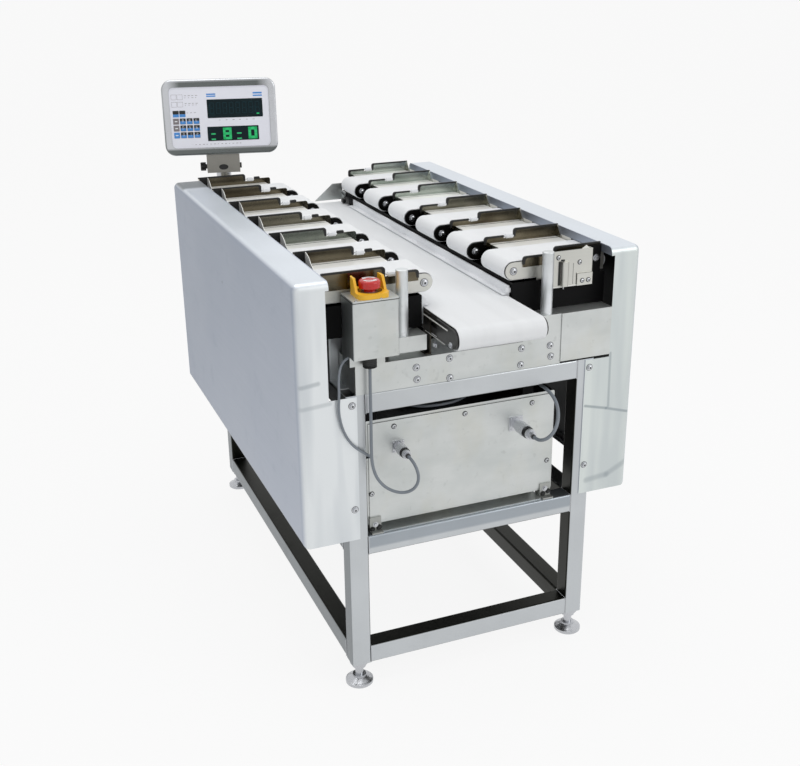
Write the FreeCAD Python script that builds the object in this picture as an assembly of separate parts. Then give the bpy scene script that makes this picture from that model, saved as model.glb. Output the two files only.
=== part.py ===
import FreeCAD, Part
import math
import os

# Twelve-head belt combination weigher on a stainless tube frame.
# Six weigh belts on each side discharge onto one central take-away belt.
# Millimetres, +X to the right, +Y to the rear, +Z up, floor at z = 0,
# origin at floor level in the middle of the overall box.

V = FreeCAD.Vector

# Heights that end in _rise are measured up from the top of the beams

# Tube frame
tube = 40.0
tube_wall = 2.0
tube_corner = 4.0
weld_gap = 0.3
frame_width = 530.0
frame_length = 1018.0
foot_height = 53.0
mid_rail_base = 303.0
top_rail_base = 602.0

# Levelling feet
foot_radius = 28.4
foot_disc = 8.0
foot_hub_radius = 14.0
foot_hub_top = 20.0
foot_stem_radius = 8.5
foot_collar_radius = 19.2
foot_collar_thickness = 5.0
foot_nut_radius = 14.0
foot_nut_height = 9.0
foot_rim = 4.0

# Side covers
cover_outer = 356.6
cover_sheet = 1.5
cover_bend = 13.0
cover_base = 343.0
cover_top_rise = 166.5
cover_lip = 16.5
cover_flange_lap = 22.3
cover_bottom_lip = 20.0
cover_flange_break = 640.0

# Front and rear beams on the top rails
beam_left = 244.0
beam_right = 184.5
beam_depth = 88.0
beam_height = 56.5
beam_sheet = 2.0
rear_beam_half = 185.0

# Take-away conveyor
nose_reach = 115.0
belt_top_rise = 82.5
belt_half_width = 88.0
belt_thickness = 2.0
belt_roll_radius = 21.5
side_outer = 89.0
side_inner = 65.0
side_clear = 1.5
slot_width = 8.0
slot_depth = 5.0
end_plate = 3.0
end_plate_length = 70.0
rear_end_plate_length = 30.0
bed_thickness = 3.0
axle_radius = 6.0
running_gap = 0.3
rail_top_rise = 101.5
rail_base_rise = 49.5
rail_sheet = 3.0
rail_lip = 12.0
rail_lip_gap = 2.0
rail_lip_thickness = 2.0
rail_start = 45.0
rail_end = 920.0
deflector_start = 15.0
deflector_crest = 66.0
deflector_rise = 43.0
bracket_inset = 8.0
bracket_width = 30.0
bracket_foot = 12.0
bracket_sheet = 3.0

# Weigh heads
head_count = 6
head_pitch = 167.3
head_first = 44.0
head_zone = 100.0
head_plate = 3.0
head_nose = {"right": 99.5, "left": 87.5}
head_tail_x = 287.0
head_axis_rise = 129.5
head_belt_radius = 19.5
head_belt_thickness = 2.0
head_belt_side_gap = 1.0
head_plate_radius = 17.0
head_plate_end = 300.0
head_leg_inner = 150.0
head_leg_outer = 230.0
mount_top_rise = 104.5
mount_plate = 3.0
mount_margin = 5.0
mount_column_x = 50.0
mount_column_y = 46.0

# Product guides between the weigh belts
guide_sheet = 2.0
guide_reach = {"right": 0.0, "left": 19.0}
guide_inner = 119.0
guide_outer = 289.5
guide_base_rise = 135.5
guide_low_top_rise = 156.0
guide_notch_start = 163.0
guide_notch_end = 186.0
guide_notch_depth = 5.0
guide_corner = 5.0
guide_flange_inner = 130.0
guide_clear = 4.0
guide_rise = 2.0
guide_seat = 0.5
guide_gusset = 26.0
rear_guide_reach = 16.5

# Trays below the weigh heads
tray_inner = 95.0
tray_outer = 300.0
tray_base_rise = 46.5
tray_floor = 4.0
tray_sheet = 2.5
tray_wall_top_rise = 107.5
tray_front = 38.0
upright_places = (92.0, 494.0, 896.0)

# Front drive cover on the right
drive_inner = 171.0
drive_outer = 262.0
drive_face = 24.0
drive_sheet = 3.0
drive_base_rise = 91.5
drive_top_rise = 163.5
drive_bottom_sheet = 2.0
drive_bar_left = 192.0
drive_bar_right = 206.0
drive_bar_top_rise = 143.5
drive_bar_depth = 9.0
drive_tab_left = 228.0
drive_tab_top_rise = 116.5
drive_tab_sheet = 3.0
side_panel_left = 264.0
side_panel_right = 289.0
side_panel_top_rise = 164.5

# Posts and their blocks
left_post_x = 144.5
right_post_x = 158.0
post_y = 15.0
post_radius = 11.5
post_wall = 2.0
post_top_rise = 169.5
block_inner = 101.5
block_depth = 44.0
left_block_base_rise = 13.5
left_block_top_rise = 43.5
left_block_foot = 30.0
right_plate_gap = 6.0
right_plate_outer = 297.0
right_plate_reach = 62.0
plate_sheet = 2.0

# Emergency stop box, guard and button
stop_left = 255.0
stop_right = 166.0
stop_front = -26.0
stop_foot_height = 20.5
stop_height = 111.0
stop_foot_inset = 19.0
stop_stem_hole = 26.0
guard_size = 60.0
guard_corner = 14.0
guard_height = 9.0
guard_ear_height = 32.0
guard_ear = 5.0
guard_ear_start = -8.0
guard_ear_slope = 14.0
guard_bore = 23.0
button_radius = 20.0
button_stem = 11.0
button_collar = 15.0
button_fit = 0.4
button_stem_depth = 18.0
button_crown = 5.0
button_head_base = 15.0
button_head_top = 29.0
stop_gland_radius = 12.5
stop_gland_x = 220.0
stop_gland_y = -13.0
stop_gland_length = 22.0

# Electrical box between the legs
ebox_left = 220.0
ebox_right = 189.0
ebox_front = 20.0
ebox_depth = 150.0
ebox_seat = 14.0
hanger_gap = 25.0
ebox_corner = 4.0
ebox_door = 2.0
ebox_door_margin = 6.0
ebox_bracket_width = 24.0
ebox_bracket_sheet = 3.0
ebox_bracket_leg = 30.0
hanger_places = (-220.0, 116.0)
connector_left = (-153.5, 516.0)
connector_right = (101.0, 520.0)
connector_flange_sheet = 3.0
left_connector_flange = 24.0
left_connector_length = 50.0
left_connector_radius = 8.0
right_connector_flange = 30.0
right_connector_length = 74.0
right_connector_radius = 10.0
connector_ring = 2.5
connector_tail = 2.5
shelf_front = 8.0
shelf_rear = 62.0
shelf_sheet = 1.7

# Loose cables: diameter and route points in order
stop_cable_size = 6.0
stop_cable_route = (
    (-220, -13, 696.9), (-220.5, -13.5, 645), (-220, -13, 590), (-221.5, -15, 540),
    (-222.5, -20, 508), (-217.5, -27, 483), (-206, -36, 466), (-190, -44, 455.5),
    (-172, -52, 452), (-157.5, -60, 458.5), (-149.5, -66, 472), (-147.5, -68, 488),
    (-149, -63, 502), (-151.5, -53, 511.5), (-153.5, -41.5, 516), (-153.5, -30, 516))
right_cable_size = 7.0
right_cable_route = (
    (101, -54, 520), (101, -67, 520), (104, -80, 522.3), (111.5, -90, 529), (121.5, -93, 539.5),
    (132.5, -87.5, 551.5), (142, -76, 563.5), (149, -61, 574.5), (153.5, -43.5, 583),
    (156, -24, 588.5), (157.5, -4, 590.8), (158.5, 17, 590.8), (158.9, 38, 590),
    (158.5, 58, 590.5), (158.6, 77, 590.2), (158.5, 94.9, 590))
elbow_size = (24.0, 30.0, 22.0)
cable_gap = 0.3

# Indicator, bracket and pole
pole_x = -208.7
pole_gap = 50.0
pole_radius = 19.0
pole_wall = 2.0
pole_base = 300.0
tilt_rise = 185.5
tilt_bush_radius = 12.0
bracket_u_width = 84.0
bracket_u_sheet = 2.5
bracket_u_front = 34.0
bracket_u_rear = 16.0
bracket_u_below = 14.0
bracket_hole = (12.0, 7.0)
housing_width = 286.0
housing_height = 188.0
housing_depth = 58.0
housing_rim = 24.0
housing_corner = 26.0
housing_taper = 18.0
housing_front = 48.0
housing_middle_rise = 312.2
housing_tilt = 5.0
housing_turn = 12.0
panel_width = 250.0
panel_height = 150.0
panel_corner = 12.0
panel_sheet = 2.0
panel_recess = 4.0
knob_radius = 11.0
knob_length = 14.0
knob_stem_radius = 4.0
pin_fit = 0.3
pole_saddle_width = 40.0
pole_saddle_fit = 0.3
pole_saddle_inset = 4.0

# Worked out, with y = 0 at the front of the frame until the whole part is centred
front = 0.0
rear = front + frame_length
half_frame = frame_width / 2
beam_base = top_rail_base + tube
beam_top = beam_base + beam_height
belt_top = beam_top + belt_top_rise
rail_top = beam_top + rail_top_rise
rail_base = beam_top + rail_base_rise
head_axis_z = beam_top + head_axis_rise
mount_top = beam_top + mount_top_rise
guide_base = beam_top + guide_base_rise
guide_low_top = beam_top + guide_low_top_rise
tray_base = beam_top + tray_base_rise
tray_wall_top = beam_top + tray_wall_top_rise
drive_base = beam_top + drive_base_rise
drive_top = beam_top + drive_top_rise
drive_bar_top = beam_top + drive_bar_top_rise
drive_tab_top = beam_top + drive_tab_top_rise
side_panel_top = beam_top + side_panel_top_rise
post_top = beam_top + post_top_rise
left_block_base = beam_top + left_block_base_rise
left_block_top = beam_top + left_block_top_rise
cover_top = beam_top + cover_top_rise
tilt_z = beam_top + tilt_rise
housing_middle = beam_top + housing_middle_rise
cover_inner = guide_outer + guide_seat
guide_top = cover_top + guide_rise
right_plate_base = cover_flange_break + right_plate_gap
stop_base = beam_top + stop_foot_height
stop_top = stop_base + stop_height
ebox_base = mid_rail_base + tube + ebox_seat
ebox_top = top_rail_base - hanger_gap
left_block_outer = stop_right - running_gap
stop_rear = tray_front - running_gap
head_places = [front + head_first + head_pitch * k for k in range(head_count)]
pole_y = rear + pole_gap + pole_radius


def box(x0, x1, y0, y1, z0, z1):
    """A block between two opposite corners."""
    return Part.makeBox(x1 - x0, y1 - y0, z1 - z0, V(x0, y0, z0))


def rod(x, y, z, radius, length, axis):
    """A cylinder that starts at a point and runs along an axis."""
    return Part.makeCylinder(radius, length, V(x, y, z), axis)


def mirrored(shape):
    """The same shape on the other side of the middle plane."""
    return shape.mirror(V(0, 0, 0), V(1, 0, 0))


def fused(shapes):
    """One solid out of shapes that meet."""
    return shapes[0].fuse(shapes[1:]).removeSplitter()


def rounded_face(width, height, radius):
    """A rectangle with round corners about the origin, in the XY plane."""
    w, h, r = width / 2, height / 2, radius
    c = r * (1 - math.sqrt(0.5))
    edges = [
        Part.makeLine(V(-w + r, -h, 0), V(w - r, -h, 0)),
        Part.Arc(V(w - r, -h, 0), V(w - c, -h + c, 0), V(w, -h + r, 0)).toShape(),
        Part.makeLine(V(w, -h + r, 0), V(w, h - r, 0)),
        Part.Arc(V(w, h - r, 0), V(w - c, h - c, 0), V(w - r, h, 0)).toShape(),
        Part.makeLine(V(w - r, h, 0), V(-w + r, h, 0)),
        Part.Arc(V(-w + r, h, 0), V(-w + c, h - c, 0), V(-w, h - r, 0)).toShape(),
        Part.makeLine(V(-w, h - r, 0), V(-w, -h + r, 0)),
        Part.Arc(V(-w, -h + r, 0), V(-w + c, -h + c, 0), V(-w + r, -h, 0)).toShape(),
    ]
    return Part.Face(Part.Wire(edges))


def square_tube(length):
    """A length of square tube along +Z from the origin."""
    outer = rounded_face(tube, tube, tube_corner).extrude(V(0, 0, length))
    bore = tube - 2 * tube_wall
    inner = rounded_face(bore, bore, tube_corner - tube_wall).extrude(V(0, 0, length))
    return outer.cut(inner)


def tube_bar(x, y, z, length, axis):
    """Square tube whose low end is centred on a point, along X, Y or Z."""
    bar = square_tube(length)
    if axis == "x":
        bar.rotate(V(0, 0, 0), V(0, 1, 0), 90)
    if axis == "y":
        bar.rotate(V(0, 0, 0), V(1, 0, 0), -90)
    bar.translate(V(x, y, z))
    return bar


def edges_along(shape, test):
    """The edges whose middle point and direction pass a test."""
    found = []
    for edge in shape.Edges:
        a, b = edge.Vertexes[0].Point, edge.Vertexes[-1].Point
        if test((a + b) * 0.5, b - a):
            found.append(edge)
    return found


def stadium(half_a, half_b, middle_z, radius):
    """A closed slot outline in the XZ plane between two axis places."""
    edges = [
        Part.makeLine(V(half_a, 0, middle_z + radius), V(half_b, 0, middle_z + radius)),
        Part.Arc(V(half_b, 0, middle_z + radius), V(half_b + radius, 0, middle_z),
                 V(half_b, 0, middle_z - radius)).toShape(),
        Part.makeLine(V(half_b, 0, middle_z - radius), V(half_a, 0, middle_z - radius)),
        Part.Arc(V(half_a, 0, middle_z - radius), V(half_a - radius, 0, middle_z),
                 V(half_a, 0, middle_z + radius)).toShape(),
    ]
    return Part.Face(Part.Wire(edges))


def loop(half_a, half_b, middle_z, radius, thickness, start, width):
    """A belt loop round two rollers, its width along +Y from start."""
    outer = stadium(half_a, half_b, middle_z, radius).extrude(V(0, width, 0))
    inner = stadium(half_a, half_b, middle_z, radius - thickness).extrude(V(0, width, 0))
    ring = outer.cut(inner)
    ring.translate(V(0, start, 0))
    return ring


def frame_legs():
    """Four upright tubes."""
    x = half_frame - tube / 2
    height = beam_base - foot_height
    return [tube_bar(sx * x, y, foot_height, height, "z")
            for sx in (-1, 1) for y in (front + tube / 2, rear - tube / 2)]


def rail_ring(base):
    """Four tubes between the legs at one height."""
    z = base + tube / 2
    cross = frame_width - 2 * tube - 2 * weld_gap
    along = frame_length - 2 * tube - 2 * weld_gap
    x = half_frame - tube / 2
    rails = [tube_bar(-cross / 2, y, z, cross, "x") for y in (front + tube / 2, rear - tube / 2)]
    rails += [tube_bar(sx * x, front + tube + weld_gap, z, along, "y") for sx in (-1, 1)]
    return rails


def levelling_feet():
    """Turned feet: stepped bell, threaded stem, lock nut and a collar under each leg."""
    collar_base = foot_height - foot_collar_thickness
    nut_base = collar_base - foot_nut_height
    points = [(0, 0), (foot_radius - 2, 0), (foot_radius, 2), (foot_radius, foot_disc),
              (foot_radius - foot_rim, foot_disc + 2), (foot_hub_radius, foot_hub_top - foot_rim),
              (foot_hub_radius, foot_hub_top), (foot_stem_radius, foot_hub_top),
              (foot_stem_radius, nut_base), (foot_nut_radius, nut_base),
              (foot_nut_radius, collar_base), (foot_collar_radius, collar_base),
              (foot_collar_radius, foot_height), (0, foot_height), (0, 0)]
    profile = Part.Face(Part.makePolygon([V(r, 0, z) for r, z in points]))
    foot = profile.revolve(V(0, 0, 0), V(0, 0, 1), 360)
    feet = []
    for sx in (-1, 1):
        for y in (front + tube / 2, rear - tube / 2):
            copy = foot.copy()
            copy.translate(V(sx * (half_frame - tube / 2), y, 0))
            feet.append(copy)
    return feet


def cover():
    """The right side cover: one folded sheet with a bottom lip, open to the middle."""
    y0, y1 = front - cover_sheet, rear + cover_sheet
    t = cover_sheet

    def bent(x0, x1, ya, yb, z0, z1, radius):
        block = box(x0, x1, ya, yb, z0, z1)

        def outer_edge(middle, direction):
            on_side = abs(middle.x - x1) < 0.01
            on_top = abs(middle.z - z1) < 0.01 and abs(middle.x - x0) > 0.01
            return on_side or on_top
        return block.makeFillet(radius, edges_along(block, outer_edge))

    skin = bent(cover_inner, cover_outer, y0, y1, cover_base, cover_top, cover_bend)
    space = bent(cover_inner + t, cover_outer - t, y0 + t, y1 - t, cover_base + t,
                 cover_top - t, cover_bend - t)
    lip_edge = cover_outer - cover_bottom_lip
    below = box(cover_inner - 1, lip_edge, y0 + t, y1 - t, cover_base - 1, cover_base + 2 * t)
    flange_edge = right_plate_outer
    inside = box(cover_inner - 1, flange_edge, y0 - 1, y1 + 1, cover_base - 1,
                 cover_top - cover_lip)
    pieces = [skin.cut([space, below, inside])]
    lower_edge = half_frame - cover_flange_lap
    for ya in (y0, y1 - t):
        pieces.append(box(lower_edge, flange_edge + t, ya, ya + t, cover_base,
                          cover_flange_break))
    return fused(pieces)


def folded_beam(x0, x1, y0, y1):
    """A folded sheet channel, open below, that stands on a top rail."""
    block = box(x0, x1, y0, y1, beam_base, beam_top)
    hollow = box(x0 + beam_sheet, x1 - beam_sheet, y0 + beam_sheet, y1 - beam_sheet,
                 beam_base - 1, beam_top - beam_sheet)
    return block.cut(hollow)


def conveyor_belt():
    """The central take-away belt, one closed loop."""
    z = belt_top - belt_roll_radius
    ya = front - nose_reach + belt_roll_radius
    yb = rear - belt_roll_radius
    ring = loop(ya, yb, z, belt_roll_radius, belt_thickness, 0, 2 * belt_half_width)
    ring.rotate(V(0, 0, 0), V(0, 0, 1), 90)
    ring.translate(V(belt_half_width, 0, 0))
    return ring


def conveyor_rollers():
    """Nose roller and rear roller with their axle ends."""
    z = belt_top - belt_roll_radius
    rollers = []
    for y in (front - nose_reach + belt_roll_radius, rear - belt_roll_radius):
        drum_half = belt_half_width - 1
        drum = rod(-drum_half, y, z, belt_roll_radius - belt_thickness - running_gap,
                   2 * drum_half, V(1, 0, 0))
        axle = rod(-side_outer, y, z, axle_radius, 2 * side_outer, V(1, 0, 0))
        rollers.append(fused([drum, axle]))
    return rollers


def conveyor_side():
    """The right side profile with its slot and its two rounded end plates."""
    z0 = belt_top - 2 * belt_roll_radius + belt_thickness + side_clear
    z1 = belt_top - belt_thickness - side_clear
    middle = belt_top - belt_roll_radius
    ya = front - nose_reach + 2 * belt_roll_radius
    yb = rear - 2 * belt_roll_radius
    profile = box(side_inner, side_outer, ya, yb, z0, z1)
    profile = profile.cut(box(side_outer - slot_depth, side_outer + 1, ya - 1, yb + 1,
                              middle - slot_width / 2, middle + slot_width / 2))
    radius = belt_roll_radius - belt_thickness - side_clear
    plates = []
    for y, reach in ((ya - belt_roll_radius, end_plate_length),
                     (yb + belt_roll_radius, -rear_end_plate_length)):
        disc = rod(side_outer, y, middle, radius, end_plate, V(1, 0, 0))
        tail = box(side_outer, side_outer + end_plate, min(y, y + reach),
                   max(y, y + reach), middle - radius, middle + radius)
        plates.append(fused([disc, tail]))
    return fused([profile] + plates)


def conveyor_bed():
    """Slider bed that carries the top run between the side profiles."""
    z1 = belt_top - belt_thickness - running_gap
    ya = front - nose_reach + 2 * belt_roll_radius
    yb = rear - 2 * belt_roll_radius
    return box(-side_inner, side_inner, ya, yb, z1 - bed_thickness, z1)


def conveyor_rail():
    """The right side rail: an upright with a lip over the belt edge."""
    x1 = side_outer + rail_sheet
    upright = box(side_outer, x1, front + rail_start, front + rail_end, rail_base, rail_top)
    z = belt_top + rail_lip_gap
    lip = box(side_outer - rail_lip, x1, front + rail_start, front + rail_end,
              z, z + rail_lip_thickness)
    return fused([upright, lip])


def conveyor_feet():
    """Angle brackets that stand the conveyor on the front and rear beams."""
    x1 = side_outer + bracket_sheet
    top = belt_top - 2 * belt_thickness
    feet = []
    for y in (front + bracket_inset, rear - beam_depth + 2):
        leg = box(side_outer, x1, y, y + bracket_width, beam_top, top)
        foot = box(side_outer, side_outer + bracket_foot, y, y + bracket_width,
                   beam_top, beam_top + bracket_sheet)
        angle = fused([leg, foot])
        feet += [angle, mirrored(angle)]
    return feet


def rear_deflector():
    """Bent plate at the rear right corner of the belt, with a sloping free edge."""
    y1 = rear
    z0 = belt_top + rail_lip_gap
    z1 = z0 + deflector_rise
    x0 = side_outer + end_plate
    x1 = x0 + plate_sheet
    side = box(x0, x1, y1 - rear_end_plate_length, y1, rail_base, tray_wall_top)
    outline = [V(deflector_start, 0, z0), V(x1, 0, z0), V(x1, 0, z1), V(deflector_crest, 0, z1),
               V(deflector_start, 0, z0)]
    face = Part.Face(Part.makePolygon(outline)).extrude(V(0, plate_sheet, 0))
    face.translate(V(0, y1 - plate_sheet, 0))
    return fused([side, face])


def head_plate_at(side, y):
    """One side plate of a weigh head: round nose, straight body and a leg."""
    zt, zb = head_axis_z + head_plate_radius, head_axis_z - head_plate_radius
    xn = head_nose[side]
    points = [V(xn, 0, zt), V(head_plate_end, 0, zt), V(head_plate_end, 0, zb),
              V(head_leg_outer, 0, zb), V(head_leg_outer, 0, mount_top),
              V(head_leg_inner, 0, mount_top), V(head_leg_inner, 0, zb), V(xn, 0, zb)]
    edges = [Part.makeLine(a, b) for a, b in zip(points, points[1:])]
    nose = Part.Arc(V(xn, 0, zb), V(xn - head_plate_radius, 0, head_axis_z), V(xn, 0, zt))
    plate = Part.Face(Part.Wire(edges + [nose.toShape()])).extrude(V(0, head_plate, 0))
    plate.translate(V(0, y, 0))
    return plate


def head_plates(side):
    """Front and rear side plates of the six heads of one side."""
    plates = []
    for y in head_places:
        plates.append(head_plate_at(side, y))
        plates.append(head_plate_at(side, y + head_plate + head_zone))
    return plates


def weigh_belts(side):
    """Six short weigh belts, each one closed loop."""
    width = head_zone - 2 * head_belt_side_gap
    return [loop(head_nose[side], head_tail_x, head_axis_z, head_belt_radius, head_belt_thickness,
                 y + head_plate + head_belt_side_gap, width) for y in head_places]


def head_rollers(side):
    """Nose and tail roller of each head, on axles between its side plates."""
    rollers = []
    radius = head_belt_radius - head_belt_thickness - running_gap
    for y in head_places:
        for x in (head_nose[side], head_tail_x):
            drum = rod(x, y + head_plate + 2, head_axis_z, radius, head_zone - 4, V(0, 1, 0))
            axle = rod(x, y + head_plate, head_axis_z, 5, head_zone, V(0, 1, 0))
            rollers.append(fused([drum, axle]))
    return rollers


def head_beds(side):
    """Folded slider bed under the top run of each weigh belt."""
    beds = []
    z1 = head_axis_z + head_belt_radius - head_belt_thickness - running_gap
    x0 = head_nose[side] + head_belt_radius + 2
    x1 = head_tail_x - head_belt_radius - 2
    for y in head_places:
        y0, y1 = y + head_plate, y + head_plate + head_zone
        top = box(x0, x1, y0, y1, z1 - 2, z1)
        web_a = box(x0, x1, y0, y0 + 2, head_axis_z - 12, z1)
        web_b = box(x0, x1, y1 - 2, y1, head_axis_z - 12, z1)
        beds.append(fused([top, web_a, web_b]))
    return beds


def head_mounts():
    """Weighing cell column with a top plate that carries one head."""
    mounts = []
    middle_x = (head_leg_inner + head_leg_outer) / 2
    for y in head_places:
        middle_y = y + head_plate + head_zone / 2
        plate = box(head_leg_inner - mount_margin, head_leg_outer + mount_margin,
                    y - 1, y + 2 * head_plate + head_zone + 1,
                    mount_top - mount_plate, mount_top)
        column = box(middle_x - mount_column_x / 2, middle_x + mount_column_x / 2,
                     middle_y - mount_column_y / 2, middle_y + mount_column_y / 2,
                     tray_base + tray_floor, mount_top - mount_plate)
        mounts.append(fused([plate, column]))
    return mounts


def guide_web(side):
    """Upright of a product guide: low inner part, notch and raised outer part."""
    zb, zl, zt = guide_base, guide_low_top, guide_top
    r = guide_corner
    c = r * (1 - math.sqrt(0.5))
    shift = guide_reach[side]
    x0, x1, x2 = guide_inner - shift, guide_notch_start - shift, guide_notch_end - shift
    x3 = guide_outer
    zn = zl - guide_notch_depth
    edges = [
        Part.makeLine(V(x0, 0, zb), V(x0, 0, zl - r)),
        Part.Arc(V(x0, 0, zl - r), V(x0 + c, 0, zl - c), V(x0 + r, 0, zl)).toShape(),
        Part.makeLine(V(x0 + r, 0, zl), V(x1, 0, zl)),
        Part.makeLine(V(x1, 0, zl), V(x1, 0, zn)),
        Part.makeLine(V(x1, 0, zn), V(x2, 0, zn)),
        Part.makeLine(V(x2, 0, zn), V(x2, 0, zt - r)),
        Part.Arc(V(x2, 0, zt - r), V(x2 + c, 0, zt - c), V(x2 + r, 0, zt)).toShape(),
        Part.makeLine(V(x2 + r, 0, zt), V(x3, 0, zt)),
        Part.makeLine(V(x3, 0, zt), V(x3, 0, zb)),
        Part.makeLine(V(x3, 0, zb), V(x0, 0, zb)),
    ]
    return Part.Face(Part.Wire(edges)).extrude(V(0, guide_sheet, 0))


def guide(side, y, flange):
    """One guide with its web in front of y, a floor flange and an end gusset."""
    web = guide_web(side)
    web.translate(V(0, y - guide_sheet, 0))
    if flange == 0:
        return web
    floor = box(guide_flange_inner - guide_reach[side], guide_outer, y - flange, y,
                guide_base, guide_base + guide_sheet)
    ya = y - guide_sheet
    reach = min(guide_gusset, flange - guide_sheet)
    corner = [V(0, ya, guide_top), V(0, ya, guide_base), V(0, ya - reach, guide_base),
              V(0, ya, guide_top)]
    gusset = Part.Face(Part.makePolygon(corner)).extrude(V(guide_sheet, 0, 0))
    gusset.translate(V(guide_outer - guide_sheet, 0, 0))
    return fused([web, floor, gusset])


def guides(side):
    """A guide in front of each head of one side and one behind the last."""
    head_length = 2 * head_plate + head_zone
    rows = [guide(side, head_places[0], 0)]
    flange = head_pitch - head_length - guide_clear
    rows += [guide(side, y, flange) for y in head_places[1:]]
    behind = rear + rear_guide_reach
    rows.append(guide(side, behind, behind - head_places[-1] - head_length - guide_clear))
    return rows


def tray():
    """Dark tray below the right heads: floor, inner wall, front wall and rear wall."""
    y0, y1 = front + tray_front, rear
    floor = box(tray_inner, tray_outer, y0, y1, tray_base, tray_base + tray_floor)
    inner = box(tray_inner, tray_inner + tray_sheet, y0, y1, tray_base, tray_wall_top)
    near = box(tray_inner, tray_outer, y0, y0 + tray_sheet, tray_base, tray_wall_top)
    far = box(tray_inner, tray_outer, y1 - tray_sheet, y1, tray_base, tray_wall_top)
    return fused([floor, inner, near, far])


def tray_supports():
    """Short uprights between the side top rails and the trays."""
    x = half_frame - tube / 2
    height = tray_base - beam_base
    return [tube_bar(sx * x, front + y + tube / 2, beam_base, height, "z")
            for sx in (-1, 1) for y in upright_places]


def drive_cover():
    """Satin cover plate in front of the first right head, with its clamp pieces."""
    y0, y1 = front + drive_face, front + drive_face + drive_sheet
    back = front + tray_front
    plate = box(drive_inner, drive_outer, y0, y1, drive_base, drive_top)
    side = box(drive_outer - drive_sheet, drive_outer, y0, back, drive_base, drive_top)
    bottom = box(drive_inner, drive_outer, y0, back, drive_base, drive_base + drive_bottom_sheet)
    bar = box(drive_bar_left, drive_bar_right, y0 - drive_bar_depth, y0,
              drive_base + drive_sheet, drive_bar_top)
    near = y0 - drive_bar_depth + 0.01
    bar = bar.makeFillet(4, edges_along(bar, lambda m, d: abs(d.z) > 1 and m.y < near))
    tab = box(drive_tab_left, drive_outer, y0 - drive_tab_sheet, y0, drive_base, drive_tab_top)
    return fused([plate, side, bottom, bar, tab])


def drive_side_panel():
    """Dark panel that stands on the front wall of the right tray beside the drive cover."""
    y0 = front + tray_front
    return box(side_panel_left, side_panel_right, y0, y0 + tray_sheet, tray_wall_top,
               side_panel_top)


def right_post_block():
    """Solid block on the beam that carries the right post."""
    return box(block_inner, beam_right, front, front + block_depth, beam_top, tray_base)


def left_post_block():
    """Block that carries the left post, with a set-back foot on the beam."""
    top = box(-left_block_outer, -block_inner, front, front + block_depth,
              left_block_base, left_block_top)
    foot = box(-left_block_outer, -block_inner, front + left_block_foot, front + block_depth,
               beam_top, left_block_base)
    return fused([top, foot])


def post(x, base):
    """A round guard post, hollow with a closed top."""
    outer = rod(x, front + post_y, base, post_radius, post_top - base, V(0, 0, 1))
    outer = outer.makeFillet(2, edges_along(outer, lambda m, d: abs(m.z - post_top) < 0.01))
    bore = rod(x, front + post_y, base, post_radius - post_wall,
               post_top - base - 2 * post_wall, V(0, 0, 1))
    return outer.cut(bore)


def front_right_plate():
    """Bent plate beside the beam on the right, its top flange under the tray."""
    x0 = beam_right + running_gap
    face = box(x0, right_plate_outer, front - plate_sheet, front, right_plate_base, tray_base)
    flange = box(x0, right_plate_outer, front - plate_sheet, front + right_plate_reach,
                 tray_base - plate_sheet, tray_base)
    return fused([face, flange])


def stop_box():
    """Emergency stop box with a foot on the beam and a bore for the button stem."""
    y0, y1 = front + stop_front, front + stop_rear
    body = box(-stop_left, -stop_right, y0, y1, stop_base, stop_top)
    body = body.makeFillet(3, edges_along(body, lambda m, d: abs(d.z) > 1))
    foot = box(-stop_left + 1, -stop_right - stop_foot_inset, front, y1, beam_top, stop_base)
    x, y = stop_centre()
    bore = rod(x, y, stop_top - stop_stem_hole, button_stem + button_fit,
               stop_stem_hole + 1, V(0, 0, 1))
    return fused([body, foot]).cut(bore)


def stop_centre():
    """Plan place of the emergency stop button."""
    return -(stop_left + stop_right) / 2, front + (stop_front + stop_rear) / 2


def stop_guard():
    """Yellow guard: a low ring with an ear that rises towards the rear on each side."""
    x, y = stop_centre()
    ring = rounded_face(guard_size, guard_size, guard_corner).extrude(V(0, 0, guard_ear_height))
    half = guard_size / 2
    top = guard_ear_height + 1
    gap = box(-half + guard_ear, half - guard_ear, -half - 1, half + 1, guard_height, top)
    outline = [V(-half - 1, -half - 1, guard_height), V(-half - 1, guard_ear_start, guard_height),
               V(-half - 1, guard_ear_start + guard_ear_slope, top),
               V(-half - 1, -half - 1, top), V(-half - 1, -half - 1, guard_height)]
    near = Part.Face(Part.makePolygon(outline)).extrude(V(guard_size + 2, 0, 0))
    bore = rod(0, 0, -1, guard_bore, top + 1, V(0, 0, 1))
    ring = ring.cut([gap, near, bore])
    ring.translate(V(x, y, stop_top))
    return ring


def stop_collar():
    """Metal collar round the button stem, on the box."""
    x, y = stop_centre()
    outer = rod(x, y, stop_top, button_collar, 8, V(0, 0, 1))
    return outer.cut(rod(x, y, stop_top - 1, button_stem + button_fit, 10, V(0, 0, 1)))


def stop_button():
    """Mushroom button with a crowned head and a stem."""
    x, y = stop_centre()
    z0, z1 = stop_top + button_head_base, stop_top + button_head_top
    head = rod(x, y, z0, button_radius, z1 - z0, V(0, 0, 1))
    head = head.makeFillet(button_crown, edges_along(head, lambda m, d: abs(m.z - z1) < 0.01))
    foot = stop_top - button_stem_depth
    stem = rod(x, y, foot, button_stem, z0 - foot, V(0, 0, 1))
    return fused([head, stem])


def stop_gland():
    """Black cable gland that hangs from the emergency stop box."""
    y = front + stop_gland_y
    r = stop_gland_radius
    top, low = stop_base, stop_base - stop_gland_length
    points = [(0, top), (r, top), (r, top - 13), (r * 0.75, low + 3), (r * 0.4, low), (0, low),
              (0, top)]
    profile = Part.Face(Part.makePolygon([V(a, 0, z) for a, z in points]))
    gland = profile.revolve(V(0, 0, 0), V(0, 0, 1), 360)
    gland.translate(V(-stop_gland_x, y, 0))
    return gland


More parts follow.
